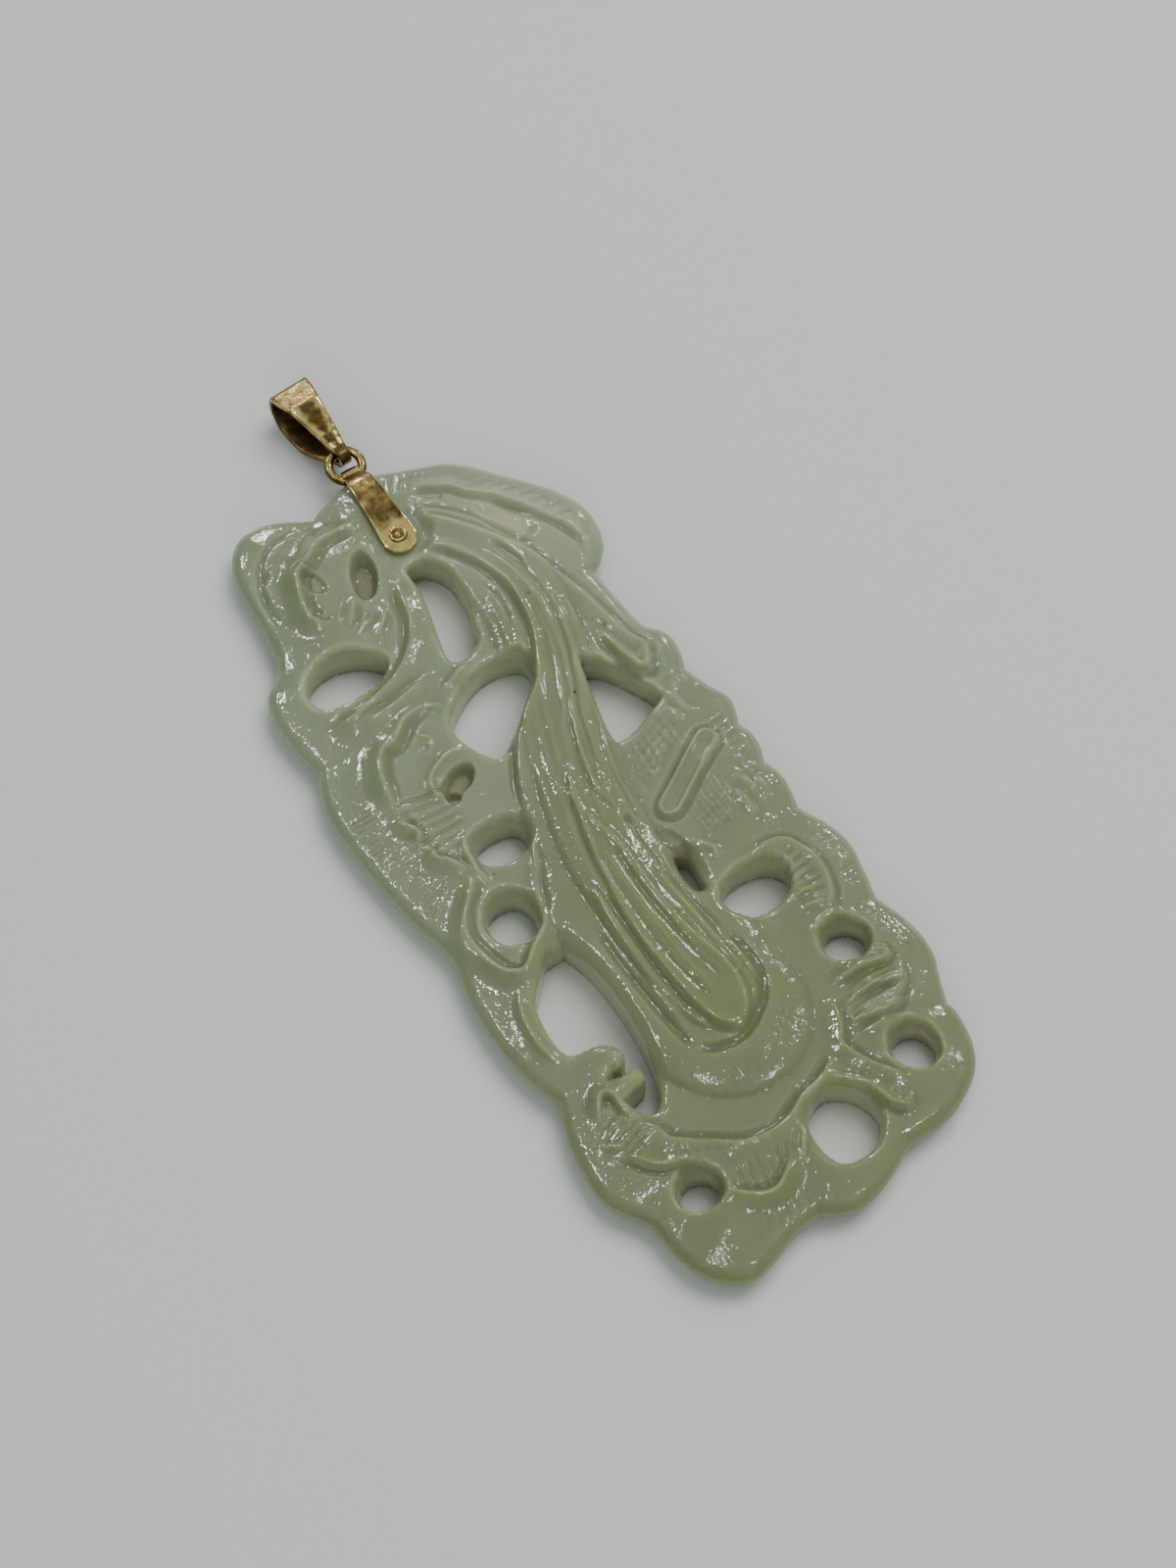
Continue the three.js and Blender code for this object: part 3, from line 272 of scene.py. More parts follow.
# fans of veins: two guide lines that they join, how many flutes, their depth, which layer, and how
# strongly the fine lines show
veinFans = [
    ([(-4.8, 11.6), (-5.3, 9.2), (-6.2, 6.4)], [(-9.4, 12.6), (-10.6, 9.3), (-9.8, 5.6)], 8, 0.09, 0, 1.0),
    ([(-9.8, 13.0), (-10.2, 9.0), (-9.0, 3.8)], [(-12.4, 13.8), (-12.6, 8.4), (-12.0, 2.4)],
        9, 0.03, 1, 0.9),
    ([(7.2, 31.6), (9.4, 29.2), (11.4, 26.2), (12.7, 23.6)], [(9.9, 32.2), (12.4, 29.2), (14.0, 26.4),
        (14.6, 24.0)], 9, 0.07, 0, 0.7),
    ([(3.6, 32.8), (7.0, 32.2)], [(5.0, 35.0), (9.0, 33.4)], 6, 0.06, 0, 0.7),
    ([(4.9, 2.8), (7.6, 4.2), (10.4, 5.4)], [(5.4, 6.8), (7.6, 7.4), (9.9, 7.8)], 9, 0.06, 0, 0.9),
    ([(4.9, 2.9), (5.1, 5.0), (5.5, 6.8)], [(10.4, 4.9), (10.2, 6.4), (9.9, 7.8)], 5, 0.05, 1, 0.9),
    ([(6.2, 0.4), (8.2, 1.4), (10.2, 2.4)], [(6.4, -2.4), (8.2, -2.9), (9.9, -2.4)], 9, 0.07, 0, 0.9),
    ([(5.9, -0.2), (6.2, -1.4), (6.4, -2.4)], [(10.2, 0.8), (10.1, -0.8), (9.9, -2.4)], 5, 0.05, 1, 0.9),
    ([(11.0, 5.4), (11.6, 3.0), (11.9, 1.2)], [(13.3, 6.2), (13.2, 3.6), (13.1, 1.6)], 6, 0.07, 0, 0.6),
    ([(8.2, -5.8), (8.6, -8.0), (8.3, -10.2)], [(10.9, -5.6), (11.3, -8.0), (10.9, -10.4)], 7, 0.1, 0, 0.6),
    ([(11.6, -5.6), (12.0, -8.0), (11.6, -10.6)], [(13.6, -5.6), (14.0, -7.8), (13.6, -10.4)],
        6, 0.04, 1, 0.6),
    ([(6.6, -16.2), (6.1, -18.0), (5.9, -19.4)], [(11.3, -16.2), (11.6, -17.9), (11.2, -19.6)],
        7, 0.09, 0, 0.7),
    ([(-9.2, -14.6), (-8.5, -16.9), (-8.3, -18.4)], [(-11.8, -15.6), (-12.0, -17.6), (-11.6, -18.8)],
        6, 0.07, 0, 0.8),
    ([(-8.4, -20.6), (-6.4, -21.3), (-4.4, -22.4), (-2.4, -22.9)], [(-8.6, -18.9), (-6.7, -19.7),
        (-4.8, -20.9), (-2.8, -21.6)], 9, 0.05, 1, 0.6),
    ([(-6.2, -22.0), (-4.4, -22.7), (-2.4, -22.9), (-0.7, -22.4)], [(-6.8, -24.8), (-5.0, -25.6),
        (-3.0, -25.0), (-1.9, -23.9)], 8, 0.05, 0, 0.9),
    ([(-6.6, -25.4), (-4.4, -26.0), (-2.2, -25.6)], [(-8.0, -27.6), (-5.2, -28.0), (-2.4, -27.6)],
        7, 0.04, 1, 0.6),
    ([(-1.4, 25.0), (-2.8, 26.8)], [(-3.6, 23.8), (-5.1, 25.6)], 5, 0.06, 0, 0.4),
    ([(-3.0, -16.2), (0.6, -16.6), (3.4, -15.0)], [(-3.2, -18.6), (0.8, -19.2), (4.6, -17.4)],
        12, 0.015, 1, 0.5),
]

# the insect's body: a bar with a raised rim from one end to the other
insect = {"from": (5.9, 1.2), "to": (10.9, 4.0), "halfWidth": 0.8, "rise": 0.2, "rim": 0.22, "groove": 0.22}

# shallow lines on the plain back: half width, depth, points
backLines = [
    (0.3, 0.14, [(-3.6, -17.0), (-4.0, -8.0), (-3.4, 0.0), (-1.6, 7.0)]),
    (0.3, 0.14, [(0.2, -17.6), (-0.4, -8.0), (0.4, 0.5), (2.6, 8.0), (5.4, 14.6)]),
    (0.3, 0.14, [(3.6, -16.6), (3.0, -10.0), (2.6, -2.0), (3.6, 4.4), (5.2, 8.6)]),
    (0.3, 0.12, [(5.4, 15.0), (7.2, 19.6), (7.0, 24.6), (5.6, 28.2)]),
    (0.3, 0.12, [(-2.8, 17.0), (-6.4, 16.4), (-9.6, 13.0), (-10.2, 8.0), (-9.6, 3.6)]),
    (0.3, 0.12, [(-5.4, -20.6), (-2.0, -21.4), (-0.6, -20.8), (4.0, -19.4), (6.0, -16.0)]),
]


def smoothLine(points, step=0.12, closed=False):
    # each stretch is the Catmull-Rom cubic through four neighbouring points; open ends are mirrored
    p = np.array(points, float)
    if closed:
        p = np.vstack([p[-1:], p, p[:2]])
    else:
        p = np.vstack([2 * p[0] - p[1], p, 2 * p[-1] - p[-2]])
    parts = []
    for i in range(1, len(p) - 2):
        a, b, c, d = p[i - 1:i + 3]
        count = max(2, int(np.hypot(*(c - b)) / step))
        t = (np.arange(count) / count)[:, None]
        square, cube = 2 * a - 5 * b + 4 * c - d, 3 * b - a - 3 * c + d
        parts.append(0.5 * (2 * b + (c - a) * t + square * t ** 2 + cube * t ** 3))
    if not closed:
        parts.append(p[-2:-1])
    return np.vstack(parts)


def strokesToLoop(strokes):
    # a loop of strokes that meet in corners
    if len(strokes) == 1:
        return smoothLine(strokes[0], closed=True)
    return np.vstack([smoothLine(stroke)[:-1] for stroke in strokes])


def circleLoop(centre, radius, count=48):
    # evenly spaced points on a circle
    t = np.arange(count) * 2 * np.pi / count
    return np.stack([centre[0] + radius * np.cos(t), centre[1] + radius * np.sin(t)], 1)


def edgeTable(loops, rounds, falls):
    # every side of the closed loops, with the rounding and the fall that belong to its loop
    starts = np.cumsum([0] + [len(loop) for loop in loops[:-1]])
    before = [np.roll(np.arange(len(loop)), 1) + start for loop, start in zip(loops, starts)]
    spread = [np.full((len(loop), 3), (r, *fall)) for loop, r, fall in zip(loops, rounds, falls)]
    return {"a": np.vstack(loops), "b": np.vstack([np.roll(loop, -1, 0) for loop in loops]),
            "before": np.concatenate(before), "kind": np.vstack(spread)}


def nearestEdge(edges, xy):
    # the nearest corner by squared distances, then the nearer of the two sides that meet there
    index = np.empty(len(xy), int)
    square = (edges["a"] ** 2).sum(1)
    for k in range(0, len(xy), 4000):
        index[k:k + 4000] = np.argmin(square - 2 * xy[k:k + 4000] @ edges["a"].T, 1)
    best = np.full(len(xy), np.inf)
    point = np.zeros_like(xy)
    for side in (index, edges["before"][index]):
        a, b = edges["a"][side], edges["b"][side]
        way = b - a
        t = np.clip(((xy - a) * way).sum(1) / np.maximum((way ** 2).sum(1), 1e-12), 0, 1)
        p = a + way * t[:, None]
        d = np.hypot(*(xy - p).T)
        nearer = d < best
        best[nearer] = d[nearer]
        point[nearer] = p[nearer]
    return best, point, edges["kind"][index]


def insideEdges(edges, xy):
    # an odd number of sides lies to the left of an inside point; points are taken row by row
    odd = np.zeros(len(xy), bool)
    rows, rowOf = np.unique(xy[:, 1], return_inverse=True)
    order = np.argsort(rowOf, kind="stable")
    bounds = np.searchsorted(rowOf[order], np.arange(len(rows) + 1))
    for r, y in enumerate(rows):
        crossing = (edges["a"][:, 1] > y) != (edges["b"][:, 1] > y)
        a, b = edges["a"][crossing], edges["b"][crossing]
        x = np.sort(a[:, 0] + (b[:, 0] - a[:, 0]) * (y - a[:, 1]) / (b[:, 1] - a[:, 1]))
        members = order[bounds[r]:bounds[r + 1]]
        odd[members] = np.searchsorted(x, xy[members, 0]) % 2 == 1
    return odd


def edgeDepth(edges, xy):
    # distance to the edge, positive inside the jade and negative outside, and the nearest edge point
    distance, point, _ = nearestEdge(edges, xy)
    return np.where(insideEdges(edges, xy), distance, -distance), point


def alongLine(xy, line):
    # for each point: distance to an open line (positive to its left), length along it up to there, the whole
    # length, the stretch of the line that is nearest, and the share of that stretch
    a, b = line[:-1], line[1:]
    way = b - a
    lengths = np.hypot(*way.T)
    startAt = np.concatenate([[0], np.cumsum(lengths)[:-1]])
    rel = xy[:, None, :] - a[None]
    t = np.clip((rel * way).sum(2) / np.maximum((way ** 2).sum(1), 1e-12), 0, 1)
    off = rel - way * t[..., None]
    square = (off ** 2).sum(2)
    k = np.argmin(square, 1)
    rows = np.arange(len(xy))
    side = way[k, 0] * off[rows, k, 1] - way[k, 1] * off[rows, k, 0]
    distance = np.sqrt(square[rows, k])
    share = t[rows, k]
    signed = distance * np.where(side >= 0, 1, -1)
    return signed, startAt[k] + share * lengths[k], lengths.sum(), k, share


def smoothstep(value, low, high):
    # 0 below low and 1 above high, with the cubic 3 t^2 - 2 t^3 between them
    t = np.clip((value - low) / (high - low), 0, 1)
    return t * t * (3 - 2 * t)


def swell(ratio):
    # a round crest that is level with its surroundings at ratio 1
    return np.clip(1 - ratio ** 2, 0, None) ** 2


def nearMask(xy, line, margin):
    # the points inside the line's box, widened by a margin
    low, high = line.min(0) - margin, line.max(0) + margin
    return np.nonzero(((xy > low) & (xy < high)).all(1))[0]


def ripple(x, y, size, seed):
    # a sum of slanted sine waves, uneven but the same each time
    total = 0
    for k in range(5):
        angle = seed * 1.7 + k * 2.4
        wave = size * (0.6 + 0.27 * k)
        along = x * np.cos(angle) + y * np.sin(angle)
        total = total + np.sin(along * 2 * np.pi / wave + seed * 3.1 + k * 1.3)
    return total / 5


def crestOf(ratio):
    # a narrow rounded crest: straight sides that run out level, and a small round top
    softness = 0.012
    slope = np.sqrt(ratio ** 2 + softness) - math.sqrt(softness)
    return np.clip(1 - slope, 0, None) ** 1.7


def ridgeField(xy, ridges, shift):
    # the highest crest at each point; on its steep side a crest falls quickly into a shallow groove
    high = np.zeros(len(xy))
    low = np.zeros(len(xy))
    for half, height, steepSide, points in ridges:
        half = half * jade["ridgeWidth"]
        line = smoothLine(np.array(points) + shift, 0.3)
        near = nearMask(xy, line, 2.6 * half)
        side, at, length, _, _ = alongLine(xy[near], line)
        fade = smoothstep(np.minimum(at, length - at), -0.3, min(1.8, length * 0.4))
        uneven = 1 + 0.07 * ripple(xy[near, 0], xy[near, 1], 1.7, 3)
        height = height * jade["ridgeRise"]
        reach = half * (1.25 if steepSide == 0 else np.where(side * steepSide > 0, 0.75, 2.3))
        high[near] = np.maximum(high[near], height * fade * uneven * crestOf(side / reach))
        if steepSide:
            beside = swell((side * steepSide - 0.95 * half) / (0.6 * half))
            low[near] = np.maximum(low[near], 0.35 * height * fade * beside)
    return high, low


def grooveField(xy, lines, shift):
    # the deepest incised line at each point: its depth times a round hollow, running out at its ends
    low = np.zeros(len(xy))
    for half, depth, points in lines:
        line = smoothLine(np.array(points) + shift, 0.3)
        near = nearMask(xy, line, 1.2 * half)
        side, at, length, _, _ = alongLine(xy[near], line)
        fade = smoothstep(np.minimum(at, length - at), -0.1, min(1.2, length * 0.3))
        low[near] = np.maximum(low[near], depth * fade * swell(side / half))
    return low


def sampleLine(points, shares):
    # points at given shares of a smooth line's length
    line = smoothLine(points, 0.05)
    at = np.concatenate([[0], np.cumsum(np.hypot(*np.diff(line, axis=0).T))])
    return np.stack([np.interp(shares * at[-1], at, line[:, i]) for i in (0, 1)], 1)


def fanField(xy, fans, shift):
    # two layers of veins: the number of the vein that each point lies on, with fractions, and how strongly
    # it shows; the veins are straight lines that join two guide lines share by share
    layers = np.zeros((2, len(xy), 3))
    shares = np.linspace(0, 1, 41)
    for start, end, count, depth, layer, fine in fans:
        a, b = sampleLine(start, shares) + shift, sampleLine(end, shares) + shift
        near = nearMask(xy, np.vstack([a, b]), 0.1)
        way = b - a
        rel = xy[near, None, :] - a[None]
        cross = way[:, 0] * rel[..., 1] - way[:, 1] * rel[..., 0]
        change = cross[:, :-1] * cross[:, 1:] <= 0
        found = change.any(1)
        near, k = near[found], np.argmax(change, 1)[found]
        rows = np.nonzero(found)[0]
        lower, upper = cross[rows, k], cross[rows, k + 1]
        share = (k + lower / (lower - upper + 1e-12)) / (len(shares) - 1)
        along = (rel[rows, k] * way[k]).sum(1) / (way[k] ** 2).sum(1)
        shown = smoothstep(along, 0, 0.2) * (1 - smoothstep(along, 0.7, 1))
        shown = shown * smoothstep(share, 0, 0.1) * (1 - smoothstep(share, 0.9, 1))
        stronger = shown * fine > layers[layer, near, 1]
        pick = near[stronger]
        layers[layer, pick, 0] = share[stronger] * count
        layers[layer, pick, 1] = shown[stronger] * fine
        layers[layer, pick, 2] = shown[stronger] * depth
    flutes = sum(layer[:, 2] * (0.5 + 0.5 * np.cos(2 * np.pi * layer[:, 0])) ** 2 for layer in layers)
    return layers[:, :, :2], flutes


def smoothTable(table, step=0.6):
    # the line is smoothed; half widths and rises change evenly from one of its points to the next
    rows = np.array(table)
    counts = [max(2, int(np.hypot(*(b[:2] - a[:2])) / step)) for a, b in zip(rows[:-1], rows[1:])]
    at = np.concatenate([i + np.arange(n) / n for i, n in enumerate(counts)] + [[len(rows) - 1]])
    others = [np.interp(at, np.arange(len(rows)), rows[:, k]) for k in (2, 3)]
    return np.column_stack([smoothLine(rows[:, :2], step), *others])


def domeField(xy, table):
    # a body swept along a line: rise times a rounded step at the half width
    rows = smoothTable(table)
    side, at, length, k, t = alongLine(xy, rows[:, :2])
    half, rise = (rows[k, 2:] + (rows[k + 1, 2:] - rows[k, 2:]) * t[:, None]).T
    ratio = side / half
    return rise * np.clip(1 - np.abs(ratio) ** 2.4, 0, None) ** 0.62, ratio, np.minimum(at, length - at)


leafLean = np.array([0.05, 0.1])
stemLean = np.array([-0.15, -0.25])


def faceHeight(xy, borderDistance, holeDistance, fall):
    # carved face over the table: sloping border, dished leaves, cabbage, ridges, grooves and veins
    # the border rises evenly to 0.8 of its width and then levels out in a parabola up to 1.2 of it
    x, y = xy.T
    t = np.minimum(borderDistance / jade["borderWidth"], 1.2)
    base = jade["borderLow"] + jade["borderRise"] * (t - np.maximum(t - 0.8, 0) ** 2 / 0.8)
    base = base - jade["leafDish"] * smoothstep(borderDistance, 4.4, 7.0)
    base = base - fall[:, 0] * (1 - smoothstep(holeDistance, 0, fall[:, 1]))
    bowl, _, _ = domeField(xy, bowlLine)
    stalk, across, fromEnd = domeField(xy, stalkLine)
    # fine parallel ribs along the stalk: a cosine across it, uneven from place to place
    ribShare = np.clip(1 - across ** 4, 0, 1) * smoothstep(fromEnd, 0, 4.0)
    ribShare = ribShare * (0.65 + 0.5 * ripple(x, y, 5.0, 4))
    ribPhase = jade["ribCount"] * across + 0.25 * ripple(x, y, 9.0, 5)
    stalk = stalk + jade["ribRise"] * ribShare * np.cos(2 * np.pi * ribPhase)
    highStem, lowStem = ridgeField(xy, stemRidges, stemLean)
    highLeaf, lowLeaf = ridgeField(xy, leafRidges, leafLean)
    incised = grooveField(xy, grooves, leafLean)
    layers, flutes = fanField(xy, veinFans, leafLean)
    low = np.maximum(np.maximum(lowStem, lowLeaf), incised)
    height = base + bowl + stalk + np.maximum(highStem, highLeaf) - low
    height = height - jade["fluteRise"] * flutes
    bar = smoothLine([insect["from"], insect["to"]], 0.5) + leafLean
    side, _, _, _, _ = alongLine(xy, bar)
    ratio = np.abs(side) / insect["halfWidth"]
    height = height + insect["rise"] * (1 - smoothstep(ratio, 0.85, 1.15))
    height = height + insect["rim"] * np.exp(-((ratio - 0.82) / 0.2) ** 2)
    height = height - insect["groove"] * swell((ratio - 1.3) / 0.35)
    brown = np.zeros(len(xy))
    for (cx, cy), (rx, ry), turn, depth, tint in pockets:
        t = math.radians(turn)
        u = ((x - cx) * math.cos(t) + (y - cy) * math.sin(t)) / rx
        v = (-(x - cx) * math.sin(t) + (y - cy) * math.cos(t)) / ry
        inPocket = 1 - smoothstep(np.hypot(u, v), 0.6, 1.12)
        height = height - depth * inPocket
        brown = brown + tint * inPocket
    height = height + jade["unevenness"] * (ripple(x, y, 3.4, 1) + ripple(x, y, 1.1, 2) / 3)
    return height, low + flutes, brown, layers


def backHeight(xy, borderDistance):
    # flat, with a few shallow lines and a rounded border
    rounded = 1 - np.sqrt(1 - np.clip(1 - borderDistance / jade["backReach"], 0, 1) ** 2)
    return grooveField(xy, backLines, 0) + jade["edgeMiddle"] * 0.75 * rounded


def seatShare(xy):
    # 1 on the flats under the strap, 0 away from them
    dx, dy = (xy - np.array(rivetPlan)).T
    across = dx * math.cos(hangerTurn) + dy * math.sin(hangerTurn)
    along = -dx * math.sin(hangerTurn) + dy * math.cos(hangerTurn)
    beyond = np.hypot(across, np.minimum(0, along))
    return 1 - smoothstep(beyond, jade["seatHalfWidth"], jade["seatHalfWidth"] + jade["seatBlend"])


def triangleLattice(low, high, step):
    # equilateral triangles: every second row of points is moved by half a step
    rowStep = step * math.sqrt(3) / 2
    columns = int((high[0] - low[0]) / step) + 2
    rows = int((high[1] - low[1]) / rowStep) + 2
    i, j = np.meshgrid(np.arange(columns), np.arange(rows))
    xy = np.stack([low[0] + (i + (j % 2) / 2) * step, low[1] + j * rowStep], -1).reshape(-1, 2)
    n = (j * columns + i)[:-1, :-1]
    a, b, c, d = n, n + 1, n + columns, n + columns + 1
    odd = (j[:-1, :-1] % 2 == 1)
    first = np.where(odd[..., None], np.stack([a, b, d], -1), np.stack([a, b, c], -1))
    second = np.where(odd[..., None], np.stack([a, d, c], -1), np.stack([b, d, c], -1))
    return xy, np.vstack([first.reshape(-1, 3), second.reshape(-1, 3)])


def rollTo(triangles, first):
    # turns each triangle's corners round so that the given one comes first
    return np.take_along_axis(triangles, (first[:, None] + np.arange(3)) % 3, 1)


def clipLattice(xy, triangles, edges, step):
    # lattice points close to an edge move onto it, and triangles that still cross it are cut there
    depth, point = edgeDepth(edges, xy)
    snapped = np.abs(depth) < 0.32 * step
    xy[snapped] = point[snapped]
    depth[snapped] = 0
    sign = np.sign(depth[triangles]).astype(int)
    positive, negative = (sign > 0).sum(1), (sign < 0).sum(1)
    whole = triangles[(negative == 0) & (positive > 0)]
    flat = triangles[(negative == 0) & (positive == 0)]
    if len(flat):
        middle = xy[flat].mean(1)
        flat = flat[edgeDepth(edges, middle)[0] > 0.02 * step]
    mixed = (positive > 0) & (negative > 0)
    tri, sig, pos, neg = triangles[mixed], sign[mixed], positive[mixed], negative[mixed]
    pairs = np.vstack([tri[:, [0, 1]], tri[:, [1, 2]], tri[:, [2, 0]]])
    cutting = depth[pairs[:, 0]] * depth[pairs[:, 1]] < 0
    pairs = np.sort(pairs[cutting], 1)
    keys = np.unique(pairs[:, 0] * len(xy) + pairs[:, 1])
    a, b = keys // len(xy), keys % len(xy)
    share = depth[a] / (depth[a] - depth[b])
    cutXy = xy[a] + (xy[b] - xy[a]) * share[:, None]
    cutXy = nearestEdge(edges, cutXy)[1]

    def cut(p, q):
        low, high = np.minimum(p, q), np.maximum(p, q)
        return len(xy) + np.searchsorted(keys, low * len(xy) + high)

    made = [whole, flat]
    one = (pos == 1) & (neg == 2)
    t = rollTo(tri[one], np.argmax(sig[one] > 0, 1))
    made.append(np.stack([t[:, 0], cut(t[:, 0], t[:, 1]), cut(t[:, 0], t[:, 2])], 1))
    half = (pos == 1) & (neg == 1)
    t = rollTo(tri[half], np.argmax(sig[half] > 0, 1))
    secondNegative = depth[t[:, 1]] < 0
    s = t[secondNegative]
    made.append(np.stack([s[:, 0], cut(s[:, 0], s[:, 1]), s[:, 2]], 1))
    s = t[~secondNegative]
    made.append(np.stack([s[:, 0], s[:, 1], cut(s[:, 0], s[:, 2])], 1))
    two = (pos == 2) & (neg == 1)
    t = rollTo(tri[two], np.argmax(sig[two] < 0, 1))
    left, right = cut(t[:, 0], t[:, 1]), cut(t[:, 0], t[:, 2])
    made.append(np.stack([left, t[:, 1], t[:, 2]], 1))
    made.append(np.stack([left, t[:, 2], right], 1))
    xy = np.vstack([xy, cutXy])
    onEdge = np.concatenate([depth == 0, np.ones(len(cutXy), bool)])
    return xy, np.vstack(made), onEdge


def sideKeys(triangles, count):
    # one number for each side, the same in both directions: its lower point times the count plus its higher
    sides = np.stack([triangles, np.roll(triangles, -1, 1)], -1).reshape(-1, 2)
    return sides.min(1) * count + sides.max(1)


def findBridges(triangles, onEdge):
    # the sides that join two edge points and belong to two triangles
    count = len(onEdge)
    keys = sideKeys(triangles, count)
    joins = onEdge[keys // count] & onEdge[keys % count]
    joined, uses = np.unique(keys[joins], return_counts=True)
    return keys, joined[uses == 2]


def splitBridges(xy, triangles, onEdge):
    # a side that joins two edge points through the jade gets a point of its own in its middle
    keys, bridges = findBridges(triangles, onEdge)
    while len(bridges):
        count = len(xy)
        # one bridge of a triangle at a time
        owner = np.isin(keys, bridges).reshape(-1, 3)
        first = np.argmax(owner, 1)
        chosen = dict.fromkeys(keys[row * 3 + first[row]] for row in np.nonzero(owner.any(1))[0])
        extraXy, extraTri, gone = [], [], []
        for key in chosen:
            users = np.nonzero((keys == key).reshape(-1, 3).any(1))[0]
            if any(user in gone for user in users):
                continue
            a, b = key // count, key % count
            middle = len(xy) + len(extraXy)
            extraXy.append((xy[a] + xy[b]) / 2)
            for user in users:
                gone.append(user)
                extraTri.append(np.where(triangles[user] == a, middle, triangles[user]))
                extraTri.append(np.where(triangles[user] == b, middle, triangles[user]))
        if not extraXy:
            break
        xy = np.vstack([xy, extraXy])
        onEdge = np.concatenate([onEdge, np.zeros(len(extraXy), bool)])
        triangles = np.vstack([np.delete(triangles, gone, 0), extraTri])
        keys, bridges = findBridges(triangles, onEdge)
    return xy, triangles, onEdge


def roundedSection(depth, rounding, middle, face):
    # from the edge inwards: a straight wall, then a quarter ellipse up to the face, which is as far in as
    # the rounding
    reach = rounding * 1.7
    crown = np.where(rounding > jade["holeRound"], jade["outerCrown"], jade["holeCrown"])
    crown = np.minimum(crown, np.abs(face - middle))
    direction = np.sign(face - middle)
    wall = np.abs(face - middle) - crown
    wallGlowShare = wall / (wall + 1.3 * (rounding + crown) / 2 + 1e-9)
    t = np.clip(depth / reach, 0, 1)
    angle = np.clip((t - wallGlowShare) / (1 - wallGlowShare), 0, 1) * np.pi / 2
    inwards = rounding * (1 - np.cos(angle))
    rise = np.where(t < wallGlowShare, wall * t / np.maximum(wallGlowShare, 1e-9), wall + crown * np.sin(angle))
    settle = np.clip((depth - reach) / (0.5 * reach), 0, 1)
    inwards = np.where(depth > reach, rounding + (1.5 * reach - rounding) * settle, inwards)
    inwards = np.where(depth > 1.5 * reach, depth, inwards)
    return inwards, middle + direction * rise, 1.5 * reach


def withoutStrays(faces, pointCount):
    # a stray triangle has a side that no other triangle shares
    _, place, uses = np.unique(sideKeys(faces, pointCount), return_inverse=True, return_counts=True)
    return faces[(uses[place.ravel()].reshape(-1, 3) > 1).all(1)]


